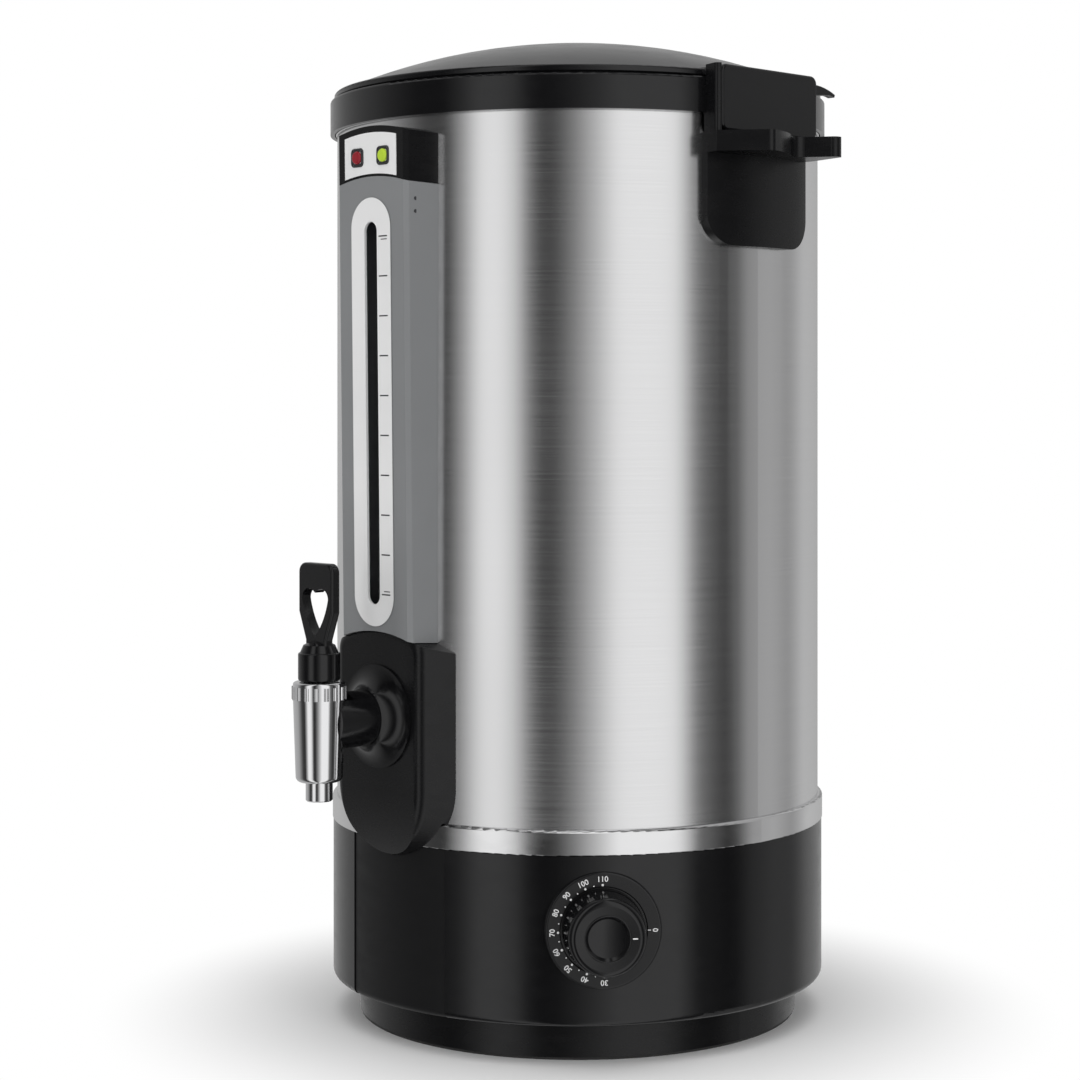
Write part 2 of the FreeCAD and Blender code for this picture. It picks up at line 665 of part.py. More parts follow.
# Heater under the tank
heater_low = size.tank_low - 5.0
piece(rod("heater_plate", size.tank_radius * 0.72, 5.0, (0, 0, heater_low)), "heater_plate")
element_ring = doc.addObject("Part::Torus", "element_ring")
bind(element_ring, "Radius1", size.tank_radius * 0.56)
bind(element_ring, "Radius2", 4.0)
element_ring.Angle3 = 320.0
place(element_ring, (0, 0, heater_low - 4.0), Rotation(Vector(0, 0, 1), 110))
element_ends = []
for number, degrees in enumerate((110.0, 70.0)):
    angle = math.radians(degrees)
    reach = size.tank_radius * 0.56
    element_ends.append(rod(f"element_end{number}", 4.0, 16.0,
                            (reach * math.cos(angle), reach * math.sin(angle),
                             heater_low - 20.0)))
piece(fused("heating_element", element_ring, *element_ends), "heating_element")
piece(turned("dry_boil_cutout", [
    (0, heater_low - 12.0), (8.0, heater_low - 12.0), (8.0, heater_low - 3.0),
    (11.5, heater_low - 3.0), (11.5, heater_low), (0, heater_low),
]), "dry_boil_cutout")

# Thermostat, its probe and the dial
shaft_bore = size.shaft_radius + size.running_gap
stat_face = size.body_radius - 6.0
piece(padded("thermostat", "XY_Plane", [[
    (-17.0, -14.0), (17.0, -14.0), (17.0, 14.0), (-17.0, 14.0),
]], 20.0, circles=[(0, 0, shaft_bore)], at=out_at_dial(stat_face - 20.0),
             turned_by=TO_DIAL), "thermostat")

probe_start = Vector(*[sized(v).value for v in out_at_dial(stat_face - 20.0)])
bulb_radius = 3.0
bulb_height = (heater_low - bulb_radius).value - 0.1
below_element = (heater_low - 8.0).value - 2.5
probe_bulb = Vector(30.0, -24.0, bulb_height)


def tube_along(points, bend, radius):
    """A round tube along straight runs that are joined by tangent arcs."""
    edges = []
    start = points[0]
    for before, corner, after in zip(points, points[1:], points[2:]):
        into = (corner - before).normalize()
        out_of = (after - corner).normalize()
        reach = bend * math.tan(into.getAngle(out_of) / 2)
        tangent_in, tangent_out = corner - into * reach, corner + out_of * reach
        middle = (out_of - into).normalize()
        apex = corner + middle * (math.hypot(bend, reach) - bend)
        edges.append(Part.LineSegment(start, tangent_in).toShape())
        edges.append(Part.Arc(tangent_in, apex, tangent_out).toShape())
        start = tangent_out
    edges.append(Part.LineSegment(start, points[-1]).toShape())
    spine = Part.Wire(edges)
    section = Part.Wire(Part.makeCircle(radius, points[0], points[1] - points[0]))
    return spine.makePipeShell([section], True, True)


inward = Vector(-dial_sin, dial_cos, 0)
probe = doc.addObject("Part::Feature", "thermostat_probe")
probe_turn = probe_start + inward * 24.0
capillary = tube_along([
    probe_start, probe_turn, Vector(probe_turn.x, probe_turn.y, below_element),
    Vector(dial_sin * 54.0, -dial_cos * 54.0, below_element), probe_bulb,
], 5.0, 1.2)
bulb = Part.makeCylinder(bulb_radius, 46.0, probe_bulb + Vector(1.5, 0, 0), Vector(-1, 0, 0))
probe.Shape = capillary.fuse(bulb).removeSplitter()
piece(probe, "thermostat_probe")

# The dial ring sits on the round skirt; the knob turns in front of it
dial_blank = turned("dial_blank", [
    (7.0, 0), (size.dial_radius, 0), (size.dial_radius, 6.0),
    (size.dial_radius - 1.2, 7.2, 1.2, "left"), (size.knob_radius + 1.5, 7.2),
    (size.knob_radius + 0.9, 6.6), (7.0, 6.6),
], out_at_dial(knob_seat - 7.2), TO_DIAL)
dial_core = rod("dial_core", skirt_radius, size.skirt_top)
piece(cut("dial_ring", dial_blank, dial_core), "dial_ring")

knob_back = knob_seat + 0.4
knob_tip = size.knob_depth
piece(turned("knob", [
    (0, 3.0), (size.shaft_radius, 3.0), (size.shaft_radius, 0), (size.knob_radius, 0),
    (size.knob_radius, 2.0), (size.knob_radius - 1.2, knob_tip - 4.0),
    (size.knob_radius - 5.0, knob_tip, 4.2, "left"),
    (size.dish_radius, knob_tip - 0.4), (size.dish_radius - 1.4, knob_tip - 1.8),
    (0, knob_tip - 3.0, 45.0, "right"),
], out_at_dial(knob_back), TO_DIAL), "knob")
piece(rod("thermostat_shaft", size.shaft_radius, knob_back - stat_face + 18.0 + 3.0,
          out_at_dial(stat_face - 18.0), TO_DIAL), "thermostat_shaft")

# Cord entry at the back, and the block that the cord would be wired to
gland_face = skirt_radius + 3.0
gland_spot = (0, gland_face - 3.6, size.gland_height)
gland_sleeve = turned("gland_sleeve", [
    (size.gland_bore, 18.0 - size.gland_depth), (0, 18.0 - size.gland_depth), (0, -8.0),
    (gland_hole, -8.0), (gland_hole, 3.0), (gland_hole - 1.0, 4.0),
    (gland_hole - 2.4, 18.0), (size.gland_bore, 18.0),
], gland_spot, BACKWARD)
gland_flange = turned("gland_flange", [
    (gland_hole - 1.5, 0), (gland_hole + 3.5, 0), (gland_hole + 3.5, 3.0),
    (gland_hole + 2.5, 4.0), (gland_hole - 1.5, 4.0),
], gland_spot, BACKWARD)
skirt_core = rod("skirt_core", skirt_radius, size.skirt_top)
piece(fused("cord_gland", gland_sleeve, cut("gland_seat", gland_flange, skirt_core)),
      "cord_gland")
terminal_low = plate_top
terminal_blank = block("terminal_blank", (-16.0, size.feet_circle * 0.78, terminal_low),
                       (16.0, size.feet_circle * 0.78 + 13.0, terminal_low + 15.0))
terminal_ways = [
    rod(f"terminal_way{number}", 2.0, 9.0,
        (x, size.feet_circle * 0.78 + 6.5, terminal_low + 8.0))
    for number, x in enumerate((-10.0, 0.0, 10.0))
]
piece(cut("terminal_block", terminal_blank, *terminal_ways), "terminal_block")

# Rim collar
collar_inner = collar_radius - size.collar_wall
throat = size.mouth_radius + size.collar_wall
piece(turned("rim_collar", [
    (collar_radius, size.shell_top), (collar_radius, collar_top - 1.5),
    (collar_radius - 1.5, collar_top, 1.5, "left"), (size.mouth_radius + 1.0, collar_top),
    (size.mouth_radius, collar_top - 1.0), (size.mouth_radius, size.shell_top + size.tank_wall),
    (throat, size.shell_top + size.tank_wall), (throat, collar_top - size.collar_wall),
    (collar_inner, collar_top - size.collar_wall), (collar_inner, size.shell_top),
]), "rim_collar")

# Lid: a domed cap with a bead, a ring that drops into the mouth, and two ears
spigot_low = collar_top - size.spigot_drop
spigot_inner = size.spigot_radius - size.spigot_wall
inner_dome = size.dome_radius - size.lid_wall


def dome_height(radius, at):
    """Height of a dome of that radius, about the lid's centre, at a distance from the axis."""
    return dome_centre + across(radius, at)


lid_cap = turned("lid_cap", [
    (0, dome_centre + size.dome_radius, size.dome_radius, "left"),
    (0, dome_centre + inner_dome),
    (spigot_inner, dome_height(inner_dome, spigot_inner), inner_dome, "right"),
    (spigot_inner, spigot_low), (size.spigot_radius, spigot_low),
    (size.spigot_radius, lid_bottom), (size.lid_radius - 0.8, lid_bottom),
    (size.lid_radius, lid_bottom + 0.8), (size.lid_radius, bead_top - 1.5),
    (size.lid_radius - 1.5, bead_top, 1.5, "left"),
    (size.dome_edge, bead_top),
])
ear_root = size.lid_radius - 8.0
ear_clear = collar_radius + size.ear_gap
ear_front = padded("ear_front", "YZ_Plane", [[
    (-size.ear_half + size.ear_corner, size.ear_bottom, size.ear_corner, "left"),
    (size.ear_half - size.ear_corner, size.ear_bottom),
    (size.ear_half, size.ear_bottom + size.ear_corner, size.ear_corner, "left"),
    (size.ear_half, ear_top - size.ear_corner),
    (size.ear_half - size.ear_corner, ear_top, size.ear_corner, "left"),
    (-size.ear_half + size.ear_corner, ear_top),
    (-size.ear_half, ear_top - size.ear_corner, size.ear_corner, "left"),
    (-size.ear_half, size.ear_bottom + size.ear_corner),
]], size.ear_face - ear_root * 0.9, offset=ear_root * 0.9)
softened(ear_front, 1.5, lambda edge: edge.BoundBox.XMin > size.ear_face.value - 0.01)
ear_core = turned("ear_core", [
    (0, 0), (ear_clear, 0), (ear_clear, lid_bottom + 0.4), (ear_root, lid_bottom + 0.4),
    (ear_root, ear_top + 5.0), (0, ear_top + 5.0),
])
tab_root = size.ear_half - 1.0
tab_tip = size.ear_half + size.tab_length
tab_high = ear_top - size.ear_corner
tab_low = tab_high - size.tab_thick
finger_tab = padded("finger_tab", "YZ_Plane", [[
    (tab_root, tab_low), (tab_root, tab_high), (tab_tip, tab_low + 1.5, 46.0, "right"),
    (tab_tip - 0.5, tab_low), (tab_tip - 5.0, tab_low + 0.9, 20.0, "left"),
]], 4.6, offset=size.ear_face - 5.2)
right_ear = fused("right_ear", cut("right_ear_block", ear_front, ear_core), finger_tab)
left_ear = doc.addObject("Part::Feature", "left_ear")
doc.recompute()
left_ear.Shape = right_ear.Shape.copy()
place(left_ear, (0, 0, 0), Rotation(Vector(0, 0, 1), 180))
steam_vent = rod("steam_vent", size.vent_radius, size.dome_radius * 0.2,
                 (0, size.vent_place, collar_top))
piece(cut("lid", fused("lid_blank", lid_cap, right_ear, left_ear), steam_vent), "lid")

gasket_radius = size.mouth_radius - size.gasket_squeeze
gasket_low = spigot_low + 2.0
piece(turned("lid_gasket", [
    (size.spigot_radius, gasket_low), (gasket_radius - 0.6, gasket_low),
    (gasket_radius, gasket_low + size.gasket_height / 2),
    (gasket_radius - 0.6, gasket_low + size.gasket_height),
    (size.spigot_radius, gasket_low + size.gasket_height),
]), "lid_gasket")
liner_disc = rod("liner_disc", spigot_inner, 0.8, (0, 0, spigot_low + 1.0))
liner_vent = rod("liner_vent", size.vent_radius, 4.0, (0, size.vent_place, spigot_low))
piece(cut("lid_liner", liner_disc, liner_vent), "lid_liner")


# Handles: a plate on the wall, an end cheek and a waved grip shelf
cheek_inner = -size.ear_half - size.ear_gap


def trig(function, angle):
    """A sine, cosine or tangent of a Size in degrees."""
    return Size(getattr(math, function)(math.radians(angle.value)), f"{function}({angle.text})")


def closed_end(distance):
    """How far aside a handle's closed end lies, that far out from the urn's axis."""
    return -sized(distance) * trig("tan", size.handle_angle)


def grip_outline():
    """Plan of the grip shelf: two lobes with a hollow between them."""
    reach, waist, deep = size.grip_reach, size.grip_waist, size.body_radius * 0.9
    corner = closed_end(size.ear_face)
    return [
        (deep, closed_end(deep)), (size.ear_face, corner), (reach - 4.5, corner + 17.0),
        (reach - 3.0, corner + 22.0, 4.2, "left"), (waist + 1.0, 6.5, 60.0, "left"),
        (waist + 2.8, 15.5, 7.0, "right"), (reach - 3.2, 23.5),
        (reach - 1.6, 30.5, 4.4, "left"), (size.ear_face, 36.0), (deep, 36.0),
    ]


wall_core = rod("wall_core", size.body_radius, size.shell_top)
collar_core = rod("collar_core", collar_radius, size.collar_height + 20.0,
                  (0, 0, size.shell_top))
plate_ring = rod("plate_ring", size.body_radius + size.pad_proud,
                 size.grip_top - size.pad_bottom, (0, 0, size.pad_bottom))
plate_front = padded("plate_front", "YZ_Plane", [[
    (-size.pad_half + size.pad_corner, size.pad_bottom, size.pad_corner, "left"),
    (size.pad_half - size.pad_corner, size.pad_bottom),
    (size.pad_half, size.pad_bottom + size.pad_corner, size.pad_corner, "left"),
    (size.pad_half, size.grip_top - 1.0), (-size.pad_half, size.grip_top - 1.0),
    (-size.pad_half, size.pad_bottom + size.pad_corner),
]], size.grip_reach - size.body_radius * 0.85, offset=size.body_radius * 0.85)
sector_edge = size.grip_reach * 1.1
handle_sector = padded("handle_sector", "XY_Plane", [[
    (0, 0), (sector_edge, closed_end(sector_edge)), (sector_edge, -closed_end(sector_edge)),
]], size.grip_top, offset=0)
handle_plate = shared("handle_plate", plate_ring, plate_front, handle_sector)
grip_shelf = padded("grip_shelf", "XY_Plane", [grip_outline()], size.grip_thick,
                    offset=grip_bottom)
cheek_round = 2.5
cheek = padded("cheek", "XY_Plane", [[
    (-cheek_inner / trig("tan", size.handle_angle), cheek_inner),
    (size.ear_face - cheek_round, closed_end(size.ear_face - cheek_round)),
    (size.ear_face, closed_end(size.ear_face - cheek_round) + cheek_round * 0.75,
     cheek_round, "left"),
    (size.ear_face, cheek_inner),
]], ear_top - grip_bottom, offset=grip_bottom)
handle_blank = fused("handle_blank", handle_plate, grip_shelf, cheek)
screw_tip = across(size.body_radius + size.pad_proud, size.screw_pitch / 2) - 1.2
handle_holes = [
    rod(f"handle_hole{number}", size.screw_radius, 10.0,
        (screw_tip - 10.0, step * size.screw_pitch / 2, size.screw_height), SIDEWAYS)
    for number, step in enumerate((1, -1))
]
right_handle = piece(
    cut("right_handle", handle_blank, wall_core, collar_core, *handle_holes), "right_handle")
doc.recompute()
left_handle = doc.addObject("Part::Feature", "left_handle")
left_handle.Shape = right_handle.Shape.copy()
place(left_handle, (0, 0, 0), Rotation(Vector(0, 0, 1), 180))
piece(left_handle, "left_handle")

head_radius = 4.2
head_height = 2.4
screw_head = across(shell_inner, size.screw_pitch / 2 + head_radius) - head_height - 0.1
handle_screws = [
    turned(f"handle_screw{number}", [
        (0, 0), (head_radius, 0), (head_radius, head_height), (size.screw_radius, head_height),
        (size.screw_radius, screw_tip - screw_head), (0, screw_tip - screw_head),
    ], (side * screw_head, offset, size.screw_height), Rotation(Vector(0, 1, 0), 90 * side))
    for number, (side, offset) in enumerate(screw_spots)
]
piece(group("handle_screws", handle_screws), "handle_screws")


# Sight gauge: housing, white bezel, tube and its seals
def leaned(thing):
    """Tips an object outwards at its top by the gauge's lean, about the gauge's foot."""
    cosine, sine = trig("cos", size.gauge_lean), trig("sin", size.gauge_lean)
    y, z = -size.gauge_face, size.cover_high
    place(thing, (0, y - y * cosine + z * sine, z - y * sine - z * cosine),
          Rotation(Vector(1, 0, 0), size.gauge_lean.value))
    return thing


def housing_plan(shrink):
    """Plan of the gauge housing, drawn in by a wall's thickness."""
    face = -size.gauge_face + shrink
    half, flare, edge = size.gauge_half - shrink, size.gauge_flare, size.gauge_edge
    back = -size.body_radius * 0.95
    return [
        (half - edge, face), (half, face + edge), (half + flare, back),
        (-half - flare, back), (-half, face + edge), (-half + edge, face),
    ]


def arched(half, foot, head):
    """Front view between two arches, each (height of its crown, radius)."""
    low, high = (crown - radius + across(radius, half) for crown, radius in (foot, head))
    return [
        (-half, low), (half, low, foot[1], "right"), (half, high), (-half, high, head[1], "left"),
    ]


wide = size.gauge_half + size.gauge_flare + 4.0
front_depth = size.gauge_face * 0.4
gauge_height = size.gauge_top - size.cover_high
foot_arch = (size.cover_high + size.seam_gap, size.cover_arch + size.seam_gap)
joint_arch = (size.gauge_top, size.arch_radius)
housing_solid = leaned(padded("housing_solid", "XY_Plane", [housing_plan(0.0)],
                              gauge_height + 60.0, offset=size.cover_high - 15.0))
housing_hollow = leaned(padded("housing_hollow", "XY_Plane", [housing_plan(size.gauge_wall)],
                               gauge_height - 10.0, offset=size.cover_high + 3.0))
housing_front = padded("housing_front", "XZ_Plane", [arched(wide, foot_arch, joint_arch)],
                       front_depth, offset=size.gauge_face * 0.7)
bezel_seat = leaned(padded("bezel_seat", "XZ_Plane", [
    oblong(size.bezel_half, size.bezel_low, size.bezel_high)
], 4.0, offset=size.gauge_face - 1.2))
slot_hole = leaned(padded("slot_hole", "XZ_Plane", [
    oblong(size.slot_half + 2.0, size.slot_low - 2.0, size.slot_high + 2.0)
], 10.0, offset=size.gauge_face - 6.0))
tube_way = rod("tube_way", size.tube_radius + 0.3, 12.0,
               (0, -size.tube_place, size.cover_high - 5.0))
piece(cut("gauge_housing", shared("housing_blank", housing_solid, housing_front),
          housing_hollow, bezel_seat, slot_hole, tube_way, wall_core), "gauge_housing")
piece(leaned(padded("gauge_bezel", "XZ_Plane", [
    oblong(size.bezel_half, size.bezel_low, size.bezel_high),
    oblong(size.slot_half, size.slot_low, size.slot_high),
], 1.2 + size.bezel_proud, offset=size.gauge_face - 1.2)), "gauge_bezel")

tee_high = size.tap_height + size.shank_radius + 4.0
spout_top = tee_high + 4.0
seal_radius = size.tube_radius + 1.2
tube_foot = tee_high - 3.0
piece(turned("sight_tube", [
    (size.tube_radius, tube_foot), (size.tube_radius, size.tube_top),
    (size.tube_radius - size.tube_wall, size.tube_top),
    (size.tube_radius - size.tube_wall, tube_foot),
], (0, -size.tube_place, 0)), "sight_tube")
piece(turned("tube_cap", [
    (0, size.tube_top), (size.tube_radius, size.tube_top),
    (size.tube_radius, size.tube_top - 3.0), (size.tube_radius + 0.8, size.tube_top - 3.0),
    (size.tube_radius + 0.8, size.tube_top + 2.0), (0, size.tube_top + 2.0),
], (0, -size.tube_place, 0)), "tube_cap")
piece(turned("tube_seal", [
    (size.tube_radius, spout_top), (seal_radius, spout_top),
    (seal_radius, spout_top + 4.0), (size.tube_radius, spout_top + 4.0),
], (0, -size.tube_place, 0)), "tube_seal")
tee_block = block("tee_block", (-10.0, -size.tube_place - 2.6, size.tap_height - 11.0),
                  (10.0, -size.body_radius, tee_high))
tee_spout = rod("tee_spout", seal_radius, spout_top - tee_high + 6.0,
                (0, -size.tube_place, tee_high - 6.0))
tee_bore = rod("tee_bore", size.shank_radius, 40.0,
               (0, -size.body_radius + 10.0, size.tap_height), FORWARD)
tee_rise = rod("tee_rise", size.tube_radius - size.tube_wall, 30.0,
               (0, -size.tube_place, size.tap_height))
tee_seat = rod("tee_seat", size.tube_radius, 30.0, (0, -size.tube_place, tube_foot))
piece(cut("gauge_tee", fused("tee_blank", tee_block, tee_spout), tee_bore, tee_rise,
          tee_seat, wall_core), "gauge_tee")

# Indicator housing with its white plate and two lenses
lamp_foot = (size.gauge_top + size.seam_gap, size.arch_radius)
lamp_head = (size.lamp_top, size.arch_radius)
lamp_solid = leaned(padded("lamp_solid", "XY_Plane", [housing_plan(0.0)], 60.0,
                           offset=size.gauge_top - 15.0))
lamp_front = padded("lamp_front", "XZ_Plane", [arched(wide, lamp_foot, lamp_head)],
                    front_depth, offset=size.gauge_face * 0.7)
lamp_hollow = block("lamp_hollow", (-size.gauge_half + 4.0, -size.gauge_face + 1.0,
                                    size.gauge_top + 3.0),
                    (size.gauge_half - 4.0, 0, size.lamp_top - 8.0))
label_outline = arched(size.label_half, (size.gauge_top + 1.4, size.arch_radius),
                       (size.lamp_top - 3.6, size.arch_radius))
label_seat = leaned(padded("label_seat", "XZ_Plane", [label_outline], 4.0,
                           offset=size.gauge_face - 1.0))
lamp_face = size.gauge_face + (size.lamp_height - size.cover_high) * trig(
    "tan", size.gauge_lean)
lens_holes = [
    rod(f"lens_hole{number}", size.lamp_radius, 20.0,
        (side * size.lamp_pitch / 2, -lamp_face + 12.0, size.lamp_height), FORWARD)
    for number, side in enumerate((-1, 1))
]
piece(cut("lamp_housing", shared("lamp_blank", lamp_solid, lamp_front), lamp_hollow,
          label_seat, *lens_holes, wall_core), "lamp_housing")
lamp_plate = leaned(padded("lamp_sheet", "XZ_Plane", [label_outline], 1.3,
                           offset=size.gauge_face - 1.0))
piece(cut("lamp_plate", lamp_plate, *lens_holes), "lamp_plate")
for label, side in (("red_lens", -1), ("green_lens", 1)):
    lens_tip = size.lamp_radius * 0.35
    piece(turned(label, [
        (0, 0), (size.lamp_radius, 0), (size.lamp_radius, 6.8),
        (size.lamp_radius - lens_tip, 6.8 + lens_tip, lens_tip, "left"),
        (0, 6.8 + lens_tip),
    ], (side * size.lamp_pitch / 2, -lamp_face + 6.2, size.lamp_height), FORWARD), label)

# Tap cover: a moulded boss over the tap's passage, wider at its root and rounded all round
cover_back = size.body_radius * 0.93
cover_depth = size.cover_face - cover_back
crown = size.cover_high + 2.0
corner_in = size.cover_half - size.cover_corner * 0.61
corner_high = crown - size.cover_arch + across(size.cover_arch, corner_in)
corner_low = corner_high - size.cover_corner * 0.92
foot_low = size.cover_low + 6.0
foot_side = foot_low + size.cover_foot
cover_front = padded("cover_front", "XZ_Plane", [[
    (-size.cover_half + size.cover_foot, foot_low, size.cover_foot, "left"),
    (size.cover_half - size.cover_foot, foot_low),
    (size.cover_half, foot_side, size.cover_foot, "left"),
    (size.cover_half, corner_low), (corner_in, corner_high, size.cover_corner, "left"),
    (-corner_in, corner_high, size.cover_arch, "left"),
    (-size.cover_half, corner_low, size.cover_corner, "left"),
    (-size.cover_half, foot_side),
]], cover_depth, offset=size.cover_face)
cover_front.Tip.Reversed = True
bind(cover_front.Tip, "TaperAngle", size.cover_taper)
softened(cover_front, size.cover_edge,
         lambda edge: edge.BoundBox.YMax < -size.cover_face.value + 0.01)
cover_limit = padded("cover_limit", "XZ_Plane", [
    arched(size.cover_half * 1.6, (size.cover_low, size.cover_arch),
           (size.cover_high, size.cover_arch))
], size.cover_face * 0.4, offset=size.cover_face * 0.7)
cover_side = padded("cover_side", "YZ_Plane", [[
    (-cover_back, size.cover_low), (-cover_back, size.cover_high + 20.0),
    (-size.cover_face, size.cover_high + 20.0), (-size.cover_face, size.cover_low + 38.0),
    (-size.cover_face + 9.0, size.cover_low, 82.0, "left"),
]], size.cover_half * 3, middle=True)
cover_hollow = block("cover_hollow",
                     (-size.cover_half + 4.5, -size.cover_face + size.cover_wall,
                      size.cover_low + 30.0),
                     (size.cover_half - 4.5, 0, size.cover_high - 16.0))
band_core = rod("band_core", band_radius, band_top)
cover_bore = rod("cover_bore", size.shank_radius + 0.3, 40.0,
                 (0, -size.body_radius, size.tap_height), FORWARD)
tube_slot = rod("tube_slot", size.tube_radius + 0.4, 40.0,
                (0, -size.tube_place, size.cover_high - 30.0))
seal_slot = rod("seal_slot", seal_radius + 0.2, spout_top - tee_high + 14.0,
                (0, -size.tube_place, tee_high - 8.0))
piece(cut("tap_cover", shared("cover_blank", cover_front, cover_limit, cover_side),
          cover_hollow, cover_bore, tube_slot, seal_slot, wall_core, band_core), "tap_cover")

# Tap: shank, flange, sleeve, barrel, nozzle and knurled ring
shank_back = size.tank_radius - 12.0
shank_front = size.tap_place - size.barrel_bore - 1.0
piece(turned("tap_shank", [
    (size.shank_bore, 0), (size.shank_radius, 0),
    (size.shank_radius, shank_front - shank_back), (size.shank_bore, shank_front - shank_back),
], (0, -shank_back, size.tap_height), FORWARD), "tap_shank")
flange_back = size.cover_face
piece(turned("tap_flange", [
    (size.shank_radius, 0), (size.flange_radius, 0), (size.flange_radius, 1.2),
    (size.sleeve_radius + 0.5, size.flange_depth, 13.0, "right"),
    (size.shank_radius, size.flange_depth),
], (0, -flange_back, size.tap_height), FORWARD), "tap_flange")
barrel_core = turned("barrel_core", [
    (0, size.barrel_low - 10.0), (size.barrel_foot + 0.05, size.barrel_low - 10.0),
    (size.barrel_foot + 0.05, size.barrel_low), (size.barrel_radius + 0.05, size.barrel_high),
    (size.barrel_radius + 0.05, bonnet_top), (0, bonnet_top),
], (0, -size.tap_place, 0))
sleeve_blank = turned("sleeve_blank", [
    (size.shank_radius, 0), (size.sleeve_radius, 0),
    (size.sleeve_radius, size.tap_place - flange_back - size.flange_depth - 4.0),
    (size.shank_radius, size.tap_place - flange_back - size.flange_depth - 4.0),
], (0, -flange_back - size.flange_depth, size.tap_height), FORWARD)
sleeve_top = size.barrel_high - size.seam_gap
sleeve_trim = block("sleeve_trim", (-20.0, -size.tap_place - 2.0, sleeve_top),
                    (20.0, -size.tap_place + 16.0, sleeve_top + 20.0))
piece(cut("tap_sleeve", sleeve_blank, barrel_core, sleeve_trim), "tap_sleeve")

tank_wall_at = across(tank_inner, size.shank_radius + 6.0)
nut_face = tank_wall_at - 3.2
piece(turned("tap_gasket", [
    (size.shank_radius, 0), (size.shank_radius + 5.0, 0),
    (size.shank_radius + 5.0, 2.4), (size.shank_radius, 2.4),
], (0, -nut_face, size.tap_height), FORWARD), "tap_gasket")
nut_across = size.shank_radius + 5.5
corner = nut_across / math.cos(math.radians(30.0))
piece(padded("tap_nut", "XY_Plane", [[
    (corner * math.cos(math.radians(60.0 * step)), corner * math.sin(math.radians(60.0 * step)))
    for step in range(6)
]], 6.0, circles=[(0, 0, size.shank_radius)], at=(0, -nut_face + 6.0, size.tap_height),
             turned_by=FORWARD), "tap_nut")

floor_top = size.barrel_low + 4.0
barrel_blank = turned("barrel_blank", [
    (size.nozzle_bore, size.barrel_low), (size.barrel_foot - 3.0, size.barrel_low),
    (size.barrel_foot, size.barrel_low + 3.0, 3.0, "left"),
    (size.barrel_radius, size.barrel_high), (size.barrel_bore, size.barrel_high),
    (size.barrel_bore, floor_top), (size.nozzle_bore, floor_top),
], (0, -size.tap_place, 0))
barrel_port = rod("barrel_port", size.shank_radius, 20.0,
                  (0, -size.tap_place + 20.0, size.tap_height), FORWARD)
nozzle_seat = rod("nozzle_seat", size.nozzle_radius - 1.0, 3.0,
                  (0, -size.tap_place, size.barrel_low - 1.0))
piece(cut("tap_barrel", barrel_blank, barrel_port, nozzle_seat), "tap_barrel")
piece(turned("tap_nozzle", [
    (size.nozzle_bore, size.nozzle_low), (size.nozzle_radius - 0.6, size.nozzle_low),
    (size.nozzle_radius, size.nozzle_low + 0.6), (size.nozzle_radius, size.barrel_low),
    (size.nozzle_radius - 1.0, size.barrel_low), (size.nozzle_radius - 1.0, size.barrel_low + 2.0),
    (size.nozzle_bore, size.barrel_low + 2.0),
], (0, -size.tap_place, 0)), "tap_nozzle")

spring_room = 8.2
neck_low = size.barrel_high - 7.0
spring_roof = bonnet_top - 5.0
stem_bore = size.stem_radius + size.running_gap
bonnet = turned("tap_bonnet", [
    (stem_bore, bonnet_top), (stem_bore, spring_roof), (spring_room, spring_roof),
    (spring_room, neck_low), (size.barrel_bore, neck_low),
    (size.barrel_bore, size.barrel_high), (size.ring_radius, size.barrel_high),
    (size.ring_radius, bonnet_top - 1.4),
    (size.ring_radius - 1.4, bonnet_top, 1.4, "left"),
], (0, -size.tap_place, 0))
rib_sketch = sketch_in(bonnet, "XY_Plane", size.barrel_high + 0.8)
ring_in(rib_sketch, size.ring_radius - 0.7, 0, 1.5)
rib = bonnet.newObject("PartDesign::Pad", "knurl_rib")
rib.Profile = rib_sketch
bind(rib, "Length", size.ring_height - 3.2)
doc.recompute()
ribs = bonnet.newObject("PartDesign::PolarPattern", "knurl_ribs")
ribs.Originals = [rib]
ribs.Axis = (rib_sketch, ["N_Axis"])
ribs.Angle = 360
ribs.Occurrences = int(size.ring_ribs.value)
ribs.setExpression("Occurrences", size.ring_ribs.text)
bonnet.Tip = ribs
piece(bonnet, "tap_bonnet")

# Stem, silicone cup and spring inside the tap
cup_low = floor_top + 0.2
stem_low = cup_low + 3.0
spring_seat = size.barrel_high - 12.0
stem_bar = turned("stem_bar", [
    (0, stem_low), (size.stem_radius, stem_low), (size.stem_radius, spring_seat - 1.4),
    (7.2, spring_seat - 1.4), (7.2, spring_seat), (size.stem_radius, spring_seat),
    (size.stem_radius, pin_height), (0, pin_height),
], (0, -size.tap_place, 0))
stem_eye = rod("stem_eye", size.stem_radius, size.stem_radius * 2,
               (-size.stem_radius, -size.tap_place, pin_height), SIDEWAYS)
eye_hole = rod("eye_hole", size.pin_radius + size.running_gap, size.stem_radius * 3,
               (size.stem_radius * -1.5, -size.tap_place, pin_height), SIDEWAYS)
piece(cut("valve_stem", fused("stem_blank", stem_bar, stem_eye), eye_hole), "valve_stem")
piece(turned("seat_cup", [
    (0, cup_low), (size.nozzle_bore + 1.2, cup_low), (size.barrel_bore - 1.2, cup_low + 2.4),
    (size.barrel_bore - 1.2, cup_low + 7.0), (size.stem_radius, cup_low + 9.0),
    (size.stem_radius, stem_low), (0, stem_low),
], (0, -size.tap_place, 0)), "seat_cup")

